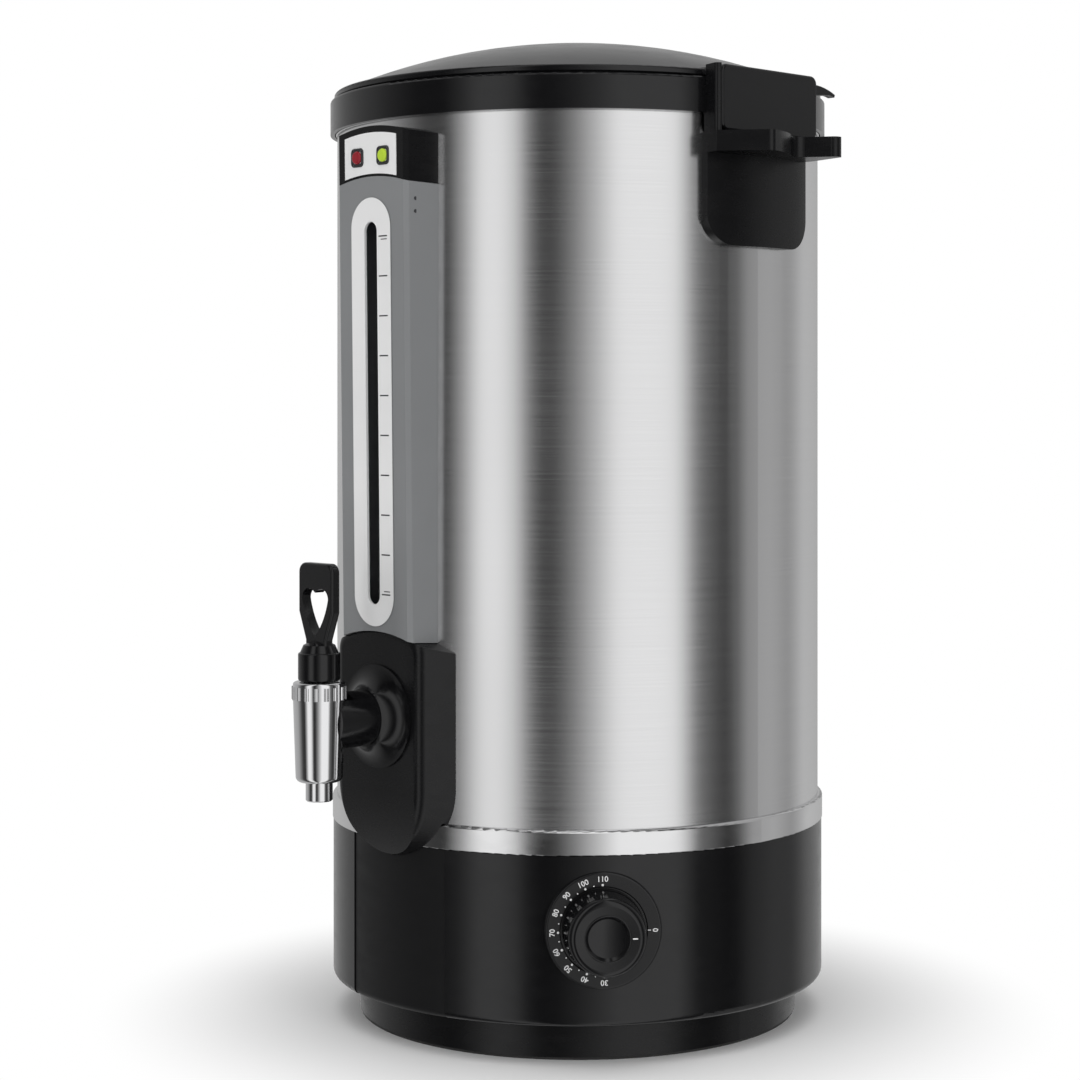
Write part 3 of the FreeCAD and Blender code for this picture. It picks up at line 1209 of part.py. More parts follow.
coil_radius = 5.6
coil_wire = 0.6
coil_turns = 6
coil_height = (spring_roof - spring_seat).value - 2 * coil_wire
spring = doc.addObject("Part::Feature", "tap_spring")
helix = Part.makeHelix(coil_height / coil_turns, coil_height, coil_radius)
wire_sides = 12
wire_rim = [
    Vector(coil_radius + coil_wire * math.cos(2 * math.pi * side / wire_sides), 0,
           coil_wire * math.sin(2 * math.pi * side / wire_sides))
    for side in range(wire_sides)
]
coil_section = Part.makePolygon(wire_rim + wire_rim[:1])
coil = Part.Wire(helix).makePipeShell([coil_section], True, True)
coil.translate(Vector(0, -size.tap_place.value, spring_seat.value + coil_wire))
spring.Shape = coil
piece(spring, "tap_spring")

# Lever: a flat paddle with a heart-shaped hole, in one moulding with its round cup
cup_foot = bonnet_top + size.cup_gap
cup_top = bonnet_top + size.cup_height
neck_height = cup_top + 4.0
lever_cup = turned("lever_cup", [
    (0, cup_foot), (size.cup_radius - 1.6, cup_foot),
    (size.cup_radius, cup_foot + 1.6, 1.6, "left"), (size.cup_radius, cup_top - 1.0),
    (size.cup_radius - 1.0, cup_top, 1.0, "left"), (size.lever_neck, neck_height),
    (size.lever_thick / 2, neck_height + 2.5), (0, neck_height + 2.5),
], (0, -size.tap_place, 0))
shoulder = neck_height + 17.4
paddle = padded("paddle", "XZ_Plane", [[
    (-size.lever_neck, cup_top - 3.0), (size.lever_neck, cup_top - 3.0),
    (size.lever_neck, neck_height + 2.5), (size.lever_half, shoulder),
    (size.lever_half, size.lever_top - size.lever_corner),
    (size.lever_half - size.lever_corner, size.lever_top, size.lever_corner, "left"),
    (-size.lever_half + size.lever_corner, size.lever_top),
    (-size.lever_half, size.lever_top - size.lever_corner, size.lever_corner, "left"),
    (-size.lever_half, shoulder), (-size.lever_neck, neck_height + 2.5),
]], size.lever_thick, at=(0, -size.tap_place, 0), middle=True)
softened(paddle, 1.4, lambda line: abs(line.BoundBox.YLength) < 0.01)
lobe_half = size.heart_half / 2
lobe_radius = size.heart_half * 0.52
heart = padded("heart", "XZ_Plane", [[
    (0, size.heart_foot, 42.0, "left"), (size.heart_half, size.heart_top - 5.6, 42.0, "left"),
    (lobe_half, size.heart_top, lobe_radius, "left"),
    (0, size.heart_top - 2.3, lobe_radius * 1.6, "left"),
    (-lobe_half, size.heart_top, lobe_radius * 1.6, "left"),
    (-size.heart_half, size.heart_top - 5.6, lobe_radius, "left"),
]], size.lever_thick * 2, at=(0, -size.tap_place, 0), middle=True)
fork_gap = size.stem_radius + 0.35
fork_slot = block("fork_slot", (-fork_gap, -size.tap_place - 8.4, bonnet_top - 5.0),
                  (fork_gap, -size.tap_place + fork_gap + 0.6, pin_height + size.stem_radius + 0.6))
pin_reach = size.cup_radius - 2.5
lever_pin_way = rod("lever_pin_way", size.pin_radius, pin_reach * 2 + 10.0,
                    (-pin_reach - 10.0, -size.tap_place, pin_height), SIDEWAYS)
piece(cut("tap_lever", fused("lever_blank", paddle, lever_cup), heart, fork_slot,
          lever_pin_way), "tap_lever")
piece(rod("lever_pin", size.pin_radius, pin_reach * 2,
          (-pin_reach, -size.tap_place, pin_height), SIDEWAYS), "lever_pin")

doc.recompute()
faults = [thing.Name for thing in doc.Objects
          if "Invalid" in thing.State or "Error" in thing.State]
for thing in pieces:
    if thing.Shape.isNull() or not thing.Shape.isValid() or not thing.Shape.Solids:
        faults.append(thing.Label)
if faults:
    raise RuntimeError(f"these objects failed: {sorted(set(faults))}")
os.makedirs("parts", exist_ok=True)
for thing in pieces:
    thing.Shape.exportStep(f"parts/{thing.Label}.step")
    box = thing.Shape.BoundBox
    print(f"{thing.Label}: {len(thing.Shape.Solids)} solids, {thing.Shape.Volume:.0f} mm3, "
          f"x {box.XMin:.1f} {box.XMax:.1f}, y {box.YMin:.1f} {box.YMax:.1f}, "
          f"z {box.ZMin:.1f} {box.ZMax:.1f}")
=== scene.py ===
"""Looks of a hot water urn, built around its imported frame."""

import json
import logging
import math
from dataclasses import dataclass
from enum import Enum
from typing import Optional, Sequence, Union

import bpy
from mathutils import Matrix, Vector


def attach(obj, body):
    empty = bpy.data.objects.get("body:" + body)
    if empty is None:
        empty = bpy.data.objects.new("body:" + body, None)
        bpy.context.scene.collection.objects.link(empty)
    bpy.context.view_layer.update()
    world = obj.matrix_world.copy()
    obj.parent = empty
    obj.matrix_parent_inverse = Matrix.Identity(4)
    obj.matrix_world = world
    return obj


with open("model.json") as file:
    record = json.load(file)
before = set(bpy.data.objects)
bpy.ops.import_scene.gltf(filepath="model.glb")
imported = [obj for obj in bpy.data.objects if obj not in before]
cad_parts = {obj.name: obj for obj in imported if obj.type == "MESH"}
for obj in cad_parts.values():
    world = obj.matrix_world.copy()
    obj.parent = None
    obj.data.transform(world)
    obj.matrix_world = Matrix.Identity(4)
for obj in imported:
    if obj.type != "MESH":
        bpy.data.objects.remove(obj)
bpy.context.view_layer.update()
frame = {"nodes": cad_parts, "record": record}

log = logging.getLogger("urn")
Number = Union[float, int]
Colour = tuple[float, float, float]

DIAL_ANGLE = math.radians(51.0)
DIAL_OUT = Vector((math.sin(DIAL_ANGLE), -math.cos(DIAL_ANGLE), 0.0))


class Signal:
    """A number that a material works out at each point, with the usual operators."""

    def __init__(self, paint: "Paint", socket: bpy.types.NodeSocket) -> None:
        """Wraps a socket.

        Args:
            paint: the material that the socket belongs to.
            socket: the output that carries the number.
        """
        self.paint = paint
        self.socket = socket

    def _math(self, operation: str, *values: Union["Signal", Number]) -> "Signal":
        """Adds a Math node.

        Args:
            operation: the node's operation.
            values: what goes into it, in order.

        Returns:
            The node's result.
        """
        node = self.paint.add("ShaderNodeMath", {"operation": operation}, dict(enumerate(values)))
        return Signal(self.paint, node.outputs[0])

    def __add__(self, other: Union["Signal", Number]) -> "Signal":
        """The sum."""
        return self._math("ADD", self, other)

    __radd__ = __add__

    def __mul__(self, other: Union["Signal", Number]) -> "Signal":
        """The product."""
        return self._math("MULTIPLY", self, other)

    __rmul__ = __mul__

    def __sub__(self, other: Union["Signal", Number]) -> "Signal":
        """The difference."""
        return self._math("SUBTRACT", self, other)

    def __rsub__(self, other: Number) -> "Signal":
        """The difference from a plain number."""
        return self._math("SUBTRACT", other, self)

    def spread(self, low: Number, high: Number, out_low: Number, out_high: Number) -> "Signal":
        """This, moved smoothly from one range to another.

        Args:
            low: where the first range starts.
            high: where it ends.
            out_low: the result at low.
            out_high: the result at high.

        Returns:
            The moved number, which stays between the two results.
        """
        node = self.paint.add(
            "ShaderNodeMapRange", {"interpolation_type": "SMOOTHSTEP"},
            {0: self, 1: low, 2: high, 3: out_low, 4: out_high},
        )
        return Signal(self.paint, node.outputs[0])


class Paint:
    """A node material that is written as expressions."""

    def __init__(self, name: str) -> None:
        """Starts a material with one Principled shader.

        Args:
            name: the material's name.
        """
        self.material = bpy.data.materials.new(name)
        self.material.use_nodes = True
        self.tree = self.material.node_tree
        self.shader = self.tree.nodes["Principled BSDF"]
        self._point: Optional[bpy.types.NodeSocket] = None

    def add(self, kind: str, settings: Optional[dict] = None,
            inputs: Optional[dict] = None) -> bpy.types.Node:
        """Adds a node.

        Args:
            kind: the node's type.
            settings: its properties, set first.
            inputs: a value, Signal or socket for each input that is named or numbered.

        Returns:
            The node.
        """
        node = self.tree.nodes.new(kind)
        for name, value in (settings or {}).items():
            setattr(node, name, value)
        for key, value in (inputs or {}).items():
            self.feed(node.inputs[key], value)
        return node

    def feed(self, socket: bpy.types.NodeSocket, value: object) -> None:
        """Links or sets an input.

        Args:
            socket: the input.
            value: a Signal, a socket, a colour or a number.
        """
        if isinstance(value, Signal):
            self.tree.links.new(value.socket, socket)
        elif isinstance(value, bpy.types.NodeSocket):
            self.tree.links.new(value, socket)
        elif isinstance(value, tuple) and len(value) == 3 and socket.type == "RGBA":
            socket.default_value = (*value, 1.0)
        else:
            socket.default_value = value

    @staticmethod
    def fill_ramp(node: bpy.types.Node, stops: Sequence[tuple[float, Colour]]) -> None:
        """Sets a colour ramp's stops.

        Args:
            node: the ramp.
            stops: each stop's place and colour.
        """
        elements = node.color_ramp.elements
        while len(elements) < len(stops):
            elements.new(0.5)
        for element, (place, colour) in zip(elements, stops):
            element.position = place
            element.color = (*colour, 1.0)

    def point(self) -> bpy.types.NodeSocket:
        """Where the surface is, in metres in the urn's frame."""
        if self._point is None:
            self._point = self.add("ShaderNodeTexCoord").outputs["Object"]
        return self._point

    def scaled(self, scale: Sequence[Number]) -> bpy.types.NodeSocket:
        """The point, with each coordinate multiplied.

        Args:
            scale: the three factors.

        Returns:
            The scaled point.
        """
        node = self.add("ShaderNodeMapping", None, {0: self.point(), "Scale": tuple(scale)})
        return node.outputs[0]

    def axes(self) -> tuple[Signal, Signal, Signal]:
        """The three coordinates of the point."""
        node = self.add("ShaderNodeSeparateXYZ", None, {0: self.point()})
        return tuple(Signal(self, output) for output in node.outputs)

    def noise(self, scale: Number, detail: Number = 2.0,
              stretch: Sequence[Number] = (1, 1, 1)) -> Signal:
        """Cloudy noise from 0 to 1.

        Args:
            scale: how many patches there are to a metre.
            detail: how many finer layers are added.
            stretch: factors for the three coordinates.

        Returns:
            The noise.
        """
        node = self.add("ShaderNodeTexNoise", None, {
            "Vector": self.scaled(stretch), "Scale": scale, "Detail": detail,
        })
        return Signal(self, node.outputs[0])

    def blend(self, share: Union[Signal, Number], first: object,
              second: object) -> bpy.types.NodeSocket:
        """Mixes two colours.

        Args:
            share: how much of the second there is.
            first: a colour or a socket.
            second: a colour or a socket.

        Returns:
            The mixed colour.
        """
        node = self.add("ShaderNodeMix", {"data_type": "RGBA"},
                        {0: share, 6: first, 7: second})
        return node.outputs[2]

    def bump(self, height: Signal, distance: Number, strength: Number = 1.0) -> None:
        """Raises the surface by a pattern.

        Args:
            height: the pattern, from 0 to 1.
            distance: the height of the pattern's top, in metres.
            strength: how much of it is felt.
        """
        node = self.add("ShaderNodeBump", None, {
            "Height": height, "Distance": distance, "Strength": strength,
        })
        self.feed(self.shader.inputs["Normal"], node.outputs[0])

    def set(self, **values: object) -> "Paint":
        """Sets or links the shader's inputs, named with _ for a space.

        Args:
            values: the inputs' values.

        Returns:
            This paint.
        """
        for name, value in values.items():
            self.feed(self.shader.inputs[name.replace("_", " ")], value)
        return self


@dataclass(frozen=True)
class Finish:
    """A surface that is the same kind all over."""

    name: str
    colour: Colour
    roughness: float
    metallic: float = 0.0

    def paint(self) -> bpy.types.Material:
        """Makes the material."""
        paint = Paint(self.name)
        paint.set(Metallic=self.metallic)
        self.dress(paint)
        return paint.material

    def dress(self, paint: Paint) -> None:
        """Adds what varies over the surface.

        Args:
            paint: the material to work on.
        """
        paint.set(Base_Color=self.colour, Roughness=self.roughness)


@dataclass(frozen=True)
class Moulded(Finish):
    """A plastic moulding: a fine grain, faint flow marks and handling marks."""

    grain: float = 1.0
    shine: float = 0.5

    def dress(self, paint: Paint) -> None:
        """Adds the grain and the marks."""
        flow = paint.noise(14.0, 3.0)
        marks = paint.noise(60.0, 4.0, (1, 1, 2.5))
        grain = paint.noise(2600.0, 2.0)
        paint.set(
            Base_Color=paint.blend(flow, self.colour, tuple(min(c * 1.18, 1) for c in self.colour)),
            Roughness=marks.spread(0.3, 0.75, self.roughness - 0.03, self.roughness + 0.05),
            Specular_IOR_Level=self.shine,
        )
        paint.bump(grain, 0.00004 * self.grain, 0.5)


@dataclass(frozen=True)
class Brushed(Finish):
    """Sheet steel with a fine brushed grain that runs round the body."""

    def dress(self, paint: Paint) -> None:
        """Adds the brush lines, and slow changes in how deep they are."""
        lines = paint.noise(260.0, 3.0, (0.03, 0.03, 14.0))
        fine = paint.noise(600.0, 2.0, (0.05, 0.05, 16.0))
        depth = paint.noise(5.0, 2.0, (1, 1, 0.6))
        grain = lines * 0.6 + fine * 0.4
        darker = tuple(c * 0.93 for c in self.colour)
        paint.set(
            Base_Color=paint.blend(grain.spread(0.3, 0.7, 0, 1), darker, self.colour),
            Roughness=grain.spread(0.25, 0.75, self.roughness - 0.03, self.roughness + 0.04)
            + depth.spread(0.3, 0.7, -0.02, 0.03),
            Anisotropic=0.4,
        )
        paint.bump(grain, 0.00001, 0.15)


@dataclass(frozen=True)
class Polished(Finish):
    """Bright metal with faint wiping marks."""

    def dress(self, paint: Paint) -> None:
        """Adds the wiping marks."""
        wipes = paint.noise(45.0, 4.0, (1, 1, 3.0))
        paint.set(
            Base_Color=self.colour,
            Roughness=wipes.spread(0.35, 0.75, self.roughness, self.roughness + 0.07),
        )
        paint.bump(paint.noise(900.0, 1.0), 0.00001, 0.3)


@dataclass(frozen=True)
class Rubbery(Finish):
    """Rubber or silicone: matte, slightly mottled."""

    def dress(self, paint: Paint) -> None:
        """Adds the mottling."""
        mottle = paint.noise(120.0, 3.0)
        paint.set(
            Base_Color=paint.blend(mottle, self.colour, tuple(min(c * 1.3, 1) for c in self.colour)),
            Roughness=mottle.spread(0.3, 0.7, self.roughness - 0.06, self.roughness + 0.06),
        )
        paint.bump(paint.noise(1500.0, 2.0), 0.00005, 0.6)


@dataclass(frozen=True)
class Clear(Finish):
    """Glass or a clear coloured lens."""

    alpha: float = 0.3
    glow: float = 0.0

    def dress(self, paint: Paint) -> None:
        """Adds faint streaks, and the light behind a lens."""
        streaks = paint.noise(30.0, 2.0, (6, 6, 0.4))
        paint.set(
            Base_Color=self.colour,
            Roughness=streaks.spread(0.3, 0.7, self.roughness, self.roughness + 0.05),
            Alpha=self.alpha,
        )
        if self.glow:
            paint.set(Emission_Color=self.colour, Emission_Strength=self.glow)


class Palette(Enum):
    """The finishes of the urn, by what they are."""

    BRUSHED = Brushed("brushed_steel", (0.78, 0.78, 0.785), 0.17, 1.0)
    BAND = Polished("polished_band", (0.78, 0.78, 0.785), 0.12, 1.0)
    CHROME = Polished("chrome_plate", (0.80, 0.80, 0.81), 0.06, 1.0)
    STEEL = Polished("plain_steel", (0.55, 0.55, 0.56), 0.28, 1.0)
    BRASS = Polished("brass_fitting", (0.68, 0.52, 0.26), 0.25, 1.0)
    CAST = Polished("cast_aluminium", (0.62, 0.63, 0.64), 0.42, 1.0)
    GLOSS = Moulded("black_gloss", (0.005, 0.005, 0.0055), 0.14, grain=0.3, shine=0.42)
    DEEP = Moulded("black_moulding", (0.005, 0.005, 0.0055), 0.26, grain=0.8, shine=0.30)
    SATIN = Moulded("black_satin", (0.007, 0.007, 0.0075), 0.42, grain=1.2, shine=0.20)
    GREY = Moulded("grey_housing", (0.20, 0.205, 0.21), 0.38, grain=1.0, shine=0.35)
    WHITE = Moulded("white_plastic", (0.72, 0.72, 0.72), 0.32, grain=0.6)
    PRINT = Moulded("white_print", (0.80, 0.80, 0.80), 0.45, grain=0.4)
    INK = Moulded("dark_print", (0.03, 0.03, 0.033), 0.5, grain=0.4)
    EDGE = Moulded("plate_edge", (0.16, 0.165, 0.17), 0.4, grain=0.4)
    RUBBER = Rubbery("black_rubber", (0.02, 0.02, 0.02), 0.75)
    SILICONE = Rubbery("white_silicone", (0.66, 0.66, 0.63), 0.5)
    GLASS = Clear("sight_glass", (0.88, 0.92, 0.92), 0.05, alpha=0.32)
    RED = Clear("red_lens", (0.23, 0.008, 0.016), 0.16, alpha=1.0, glow=0.12)
    GREEN = Clear("green_lens", (0.36, 0.50, 0.03), 0.16, alpha=1.0, glow=0.25)


class Paintbox:
    """The materials, each made once."""

    def __init__(self) -> None:
        """Starts with none made."""
        self._made: dict[Palette, bpy.types.Material] = {}

    def of(self, finish: Palette) -> bpy.types.Material:
        """A finish's material.

        Args:
            finish: which one.

        Returns:
            The material.
        """
        if finish not in self._made:
            self._made[finish] = finish.value.paint()
        return self._made[finish]


CAD_FINISHES: dict[str, Palette] = {
    "brushed_steel": Palette.BRUSHED, "polished_steel": Palette.BAND,
    "chrome": Palette.CHROME, "black_gloss": Palette.GLOSS, "black_satin": Palette.SATIN,
    "grey_plastic": Palette.GREY, "white_plastic": Palette.WHITE,
    "clear_glass": Palette.GLASS, "red_lens": Palette.RED, "green_lens": Palette.GREEN,
    "black_rubber": Palette.RUBBER, "silicone": Palette.SILICONE,
    "aluminium": Palette.CAST, "spring_steel": Palette.STEEL, "brass": Palette.BRASS,
    "dial_print": Palette.GLOSS,
}


NODE_FINISHES: dict[str, Palette] = {
    "front_base_panel": Palette.SATIN, "lamp_housing": Palette.DEEP, "tap_cover": Palette.DEEP,
    "foot_ring": Palette.DEEP, "right_handle": Palette.DEEP, "left_handle": Palette.DEEP,
}


@dataclass
class Studio:
    """The camera, the floor, the lights and the surroundings."""

    distance: float = 1.4063
    azimuth: float = 45.45
    eye_height: float = 0.3485
    focal_length: float = 80.0
    shift: tuple[float, float] = (-0.0347, -0.1234)
    floor_size: float = 12.0
    room_level: float = 0.62
    aim_height: float = 0.28
    fade: tuple[float, float] = (0.015, 0.08)
    panels: tuple[tuple[float, float], ...] = (
        (-178.0, 0.55), (-150.0, 0.45), (-100.0, 0.50), (-60.0, 0.40), (-32.0, 0.06),
        (-17.0, 0.03), (-8.0, 0.40), (0.0, 0.98), (9.0, 1.0), (17.0, 0.75), (23.0, 0.16),
        (29.0, 0.02), (36.0, 0.06), (45.0, 0.26), (55.0, 0.60), (64.0, 1.0), (92.0, 1.0),
        (102.0, 0.16), (110.0, 0.10), (118.0, 0.03), (124.0, 0.08), (133.0, 0.36),
        (147.0, 0.45), (163.0, 0.32), (178.0, 0.55),
    )

    def place_camera(self) -> None:
        """Puts the camera where the photograph was taken from."""
        angle = math.radians(self.azimuth)
        data = bpy.data.cameras.new("camera")
        data.lens, data.sensor_width = self.focal_length, 36.0
        data.shift_x, data.shift_y = self.shift
        camera = bpy.data.objects.new("camera", data)
        bpy.context.scene.collection.objects.link(camera)
        camera.location = (math.sin(angle) * self.distance, -math.cos(angle) * self.distance,
                           self.eye_height)
        camera.rotation_euler = (math.pi / 2, 0, angle)
        bpy.context.scene.camera = camera

    def lay_floor(self) -> None:
        """Lays a plain pale floor."""
        bpy.ops.object.select_all(action="DESELECT")
        bpy.ops.mesh.primitive_plane_add(size=self.floor_size)
        floor = bpy.context.object
        floor.name = "floor"
        paint = Paint("floor")
        mottle = paint.noise(3.0)
        east, north, _ = paint.axes()
        away = (east * east + north * north).spread(*self.fade, 0.0, 1.0)
        paint.set(Base_Color=paint.blend(mottle, (0.93, 0.93, 0.93), (0.95, 0.95, 0.95)),
                  Roughness=0.7, Specular_IOR_Level=0.1)
        white = paint.add("ShaderNodeEmission", None, {"Color": (1.0, 1.0, 1.0)})
        path = paint.add("ShaderNodeLightPath")
        seen = Signal(paint, path.outputs["Is Camera Ray"])
        mix = paint.add("ShaderNodeMixShader", None, {
            0: away * seen, 1: paint.shader.outputs[0], 2: white.outputs[0],
        })
        paint.feed(paint.tree.nodes["Material Output"].inputs[0], mix.outputs[0])
        floor.data.materials.append(paint.material)
        floor.visible_glossy = False

    def hang_lamp(self, name: str, azimuth: float, height: float, away: float, size: tuple,
                  power: float) -> None:
        """Hangs a soft lamp that faces the urn's middle.

        Args:
            name: the lamp's name.
            azimuth: the side it stands on, in degrees, as the camera's is counted.
            height: its height in metres.
            away: its distance from the urn's axis.
            size: its width and height.
            power: its power in watts.
        """
        angle = math.radians(azimuth)
        data = bpy.data.lights.new(name, "AREA")
        data.shape, data.size, data.size_y, data.energy = "RECTANGLE", *size, power
        lamp = bpy.data.objects.new(name, data)
        bpy.context.scene.collection.objects.link(lamp)
        lamp.location = (math.sin(angle) * away, -math.cos(angle) * away, height)
        aim = Vector((0, 0, self.aim_height)) - lamp.location
        lamp.rotation_euler = aim.to_track_quat("-Z", "Y").to_euler()
        lamp.visible_glossy = False

    def light(self) -> None:
        """Sets the surroundings and hangs the lamps."""
        world = bpy.data.worlds.new("surroundings")
        bpy.context.scene.world = world
        world.use_nodes = True
        tree = world.node_tree
        room = tree.nodes["Background"]
        room.inputs[0].default_value = (1, 1, 1, 1)
        room.inputs[1].default_value = self.room_level
        seen = tree.nodes.new("ShaderNodeBackground")
        seen.inputs[0].default_value = (1, 1, 1, 1)
        mirrored = tree.nodes.new("ShaderNodeBackground")
        self._hang_panels(tree, mirrored.inputs[0])
        path = tree.nodes.new("ShaderNodeLightPath")
        behind = room
        for ray, shader in (("Is Glossy Ray", mirrored), ("Is Transmission Ray", seen),
                            ("Is Camera Ray", seen)):
            mix = tree.nodes.new("ShaderNodeMixShader")
            tree.links.new(path.outputs[ray], mix.inputs[0])
            tree.links.new(behind.outputs[0], mix.inputs[1])
            tree.links.new(shader.outputs[0], mix.inputs[2])
            behind = mix
        tree.links.new(behind.outputs[0], tree.nodes["World Output"].inputs[0])
        self.hang_lamp("left_box", -8.0, 0.7, 2.2, (0.5, 1.6), 7.0)
        self.hang_lamp("right_box", 78.0, 0.7, 2.2, (0.7, 1.6), 7.0)
        self.hang_lamp("top_box", 45.0, 2.2, 0.4, (1.8, 1.8), 14.0)

    def _hang_panels(self, tree: bpy.types.NodeTree, target: bpy.types.NodeSocket) -> None:
        """Gives polished surfaces a room of light and dark panels to mirror.

        Args:
            tree: the world's nodes.
            target: the colour that the panels give.
        """
        place = tree.nodes.new("ShaderNodeTexCoord")
        parts = tree.nodes.new("ShaderNodeSeparateXYZ")
        angle = tree.nodes.new("ShaderNodeMath")
        angle.operation = "ARCTAN2"
        turn = tree.nodes.new("ShaderNodeMath")
        turn.operation = "MULTIPLY_ADD"
        turn.inputs[1].default_value = 1 / (2 * math.pi)
        turn.inputs[2].default_value = 0.5
        ramp = tree.nodes.new("ShaderNodeValToRGB")
        Paint.fill_ramp(ramp, [
            ((degrees + 180.0) / 360.0, (level, level, level)) for degrees, level in self.panels
        ])
        flip = tree.nodes.new("ShaderNodeMath")
        flip.operation = "MULTIPLY"
        flip.inputs[1].default_value = -1.0
        tree.links.new(place.outputs["Generated"], parts.inputs[0])
        tree.links.new(parts.outputs[1], flip.inputs[0])
        tree.links.new(parts.outputs[0], angle.inputs[0])
        tree.links.new(flip.outputs[0], angle.inputs[1])
        tree.links.new(angle.outputs[0], turn.inputs[0])
        tree.links.new(turn.outputs[0], ramp.inputs[0])
        tree.links.new(ramp.outputs[0], target)


@dataclass(frozen=True)
class Facet:
    """A flat place on the urn: its origin, and which way is up and out."""

    origin: Vector
    up: Vector
    out: Vector

    def matrix(self) -> Matrix:
        """The place as a matrix: right is X, up is Y and out is Z."""
        right = self.up.cross(self.out)
        turn = Matrix((right, self.up, self.out)).transposed()
        return Matrix.Translation(self.origin) @ turn.to_4x4()


GAUGE_LEAN = math.radians(0.7)
GAUGE_FACE = 0.1537
COVER_TOP = 0.2268
GAUGE = Facet(Vector((0.0, -GAUGE_FACE, COVER_TOP)),
              Vector((0.0, -math.sin(GAUGE_LEAN), math.cos(GAUGE_LEAN))),
              Vector((0.0, -math.cos(GAUGE_LEAN), -math.sin(GAUGE_LEAN))))
RING_FACE = 0.1436
DIAL_HEIGHT = 0.0725
DIAL = Facet(DIAL_OUT * RING_FACE + Vector((0, 0, DIAL_HEIGHT)), Vector((0, 0, 1)), DIAL_OUT)


class Bench:
    """Makes small shapes on a facet and joins them into pieces."""

    def __init__(self, paintbox: Paintbox) -> None:
        """Keeps the materials to use.

        Args:
            paintbox: where they come from.
        """
        self.paintbox = paintbox

    @staticmethod
    def _settle(shape: bpy.types.Object, facet: Facet, at: tuple = (0, 0, 0),
                turn: float = 0.0) -> bpy.types.Object:
        """Moves a shape's mesh to its place and leaves the object at the origin."""
        local = Matrix.Translation(Vector(at)) @ Matrix.Rotation(turn, 4, "Z")
        shape.data.transform(facet.matrix() @ local @ shape.matrix_world)
        shape.matrix_world = Matrix.Identity(4)
        return shape

    def bar(self, facet: Facet, at: tuple, size: tuple,
            soft: float = 0.00008) -> bpy.types.Object:
        """A small bar with softened edges.

        Args:
            facet: the surface it lies on.
            at: its middle, as right, up and out.
            size: its width, height and thickness.
            soft: the rounding of its edges.

        Returns:
            The bar.
        """
        bpy.ops.object.select_all(action="DESELECT")
        bpy.ops.mesh.primitive_cube_add(size=1.0)
        shape = bpy.context.object
        shape.data.transform(Matrix.Diagonal((*size, 1.0)))
        edge = shape.modifiers.new("edge", "BEVEL")
        edge.width, edge.segments = soft, 2
        bpy.ops.object.modifier_apply(modifier="edge")
        return self._settle(shape, facet, at)

    def stud(self, facet: Facet, at: tuple, radius: float, depth: float,
             sides: int = 24) -> bpy.types.Object:
        """A low round stud with a softened rim.

        Args:
            facet: the surface it lies on.
            at: its middle, as right, up and out.
            radius: its radius.
            depth: its height.
            sides: how many sides it has.

        Returns:
            The stud.
        """
        bpy.ops.object.select_all(action="DESELECT")
        bpy.ops.mesh.primitive_cylinder_add(vertices=sides, radius=radius, depth=depth)
        shape = bpy.context.object
        rim = shape.modifiers.new("rim", "BEVEL")
        rim.width, rim.segments, rim.limit_method = min(depth, radius) * 0.3, 2, "ANGLE"
        bpy.ops.object.modifier_apply(modifier="rim")
        return self._settle(shape, facet, at)

    def cord(self, facet: Facet, points: Sequence[tuple], radius: float) -> bpy.types.Object:
        """A round bead along a closed line.

        Args:
            facet: the surface it lies on.
            points: the line's points, as right, up and out.
            radius: the bead's radius.

        Returns:
            The bead as a mesh.
        """
        curve = bpy.data.curves.new("bead", "CURVE")
        curve.dimensions, curve.bevel_depth, curve.bevel_resolution = "3D", radius, 2
        spline = curve.splines.new("POLY")
        spline.points.add(len(points) - 1)
        for knot, spot in zip(spline.points, points):
            knot.co = (*spot, 1.0)
        spline.use_cyclic_u = True
        return self._as_mesh(bpy.data.objects.new("bead", curve), facet)

    def figure(self, facet: Facet, text: str, at: tuple, size: float,
               turn: float) -> bpy.types.Object:
        """A printed number.

        Args:
            facet: the surface it is printed on.
            text: the number.
            at: its middle.
            size: its height.
            turn: its turn about the outward direction, in radians.

        Returns:
            The number as a mesh.
        """
        curve = bpy.data.curves.new("figure", "FONT")
        curve.body, curve.size, curve.extrude = text, size * 1.35, 0.00003
        curve.align_x, curve.align_y = "CENTER", "CENTER"
        curve.offset, curve.resolution_u = size * 0.018, 4
        return self._as_mesh(bpy.data.objects.new("figure", curve), facet, at, turn)

    def _as_mesh(self, shape: bpy.types.Object, facet: Facet, at: tuple = (0, 0, 0),
                 turn: float = 0.0) -> bpy.types.Object:
        """Turns a curve into a mesh and settles it."""
        bpy.context.scene.collection.objects.link(shape)
        bpy.ops.object.select_all(action="DESELECT")
        shape.select_set(True)
        bpy.context.view_layer.objects.active = shape
        bpy.ops.object.convert(target="MESH")
        return self._settle(bpy.context.object, facet, at, turn)

    def piece(self, name: str, parts: Sequence[bpy.types.Object], finish: Palette,
              body: str = "urn_body") -> bpy.types.Object:
        """Joins shapes into one named piece that rides on a body.

        Args:
            name: the piece's name.
            parts: the shapes.
            finish: its finish.
            body: what it moves with.

        Returns:
            The piece.
        """
        bpy.ops.object.select_all(action="DESELECT")
        for part in parts:
            part.data.materials.clear()
            part.select_set(True)
        whole = parts[0]
        bpy.context.view_layer.objects.active = whole
        if len(parts) > 1:
            bpy.ops.object.join()
        bpy.ops.object.shade_smooth_by_angle(angle=math.radians(35))
        whole.name = name
        whole.data.materials.append(self.paintbox.of(finish))
        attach(whole, body)
        log.info("%s rides on %s", name, body)
        return whole


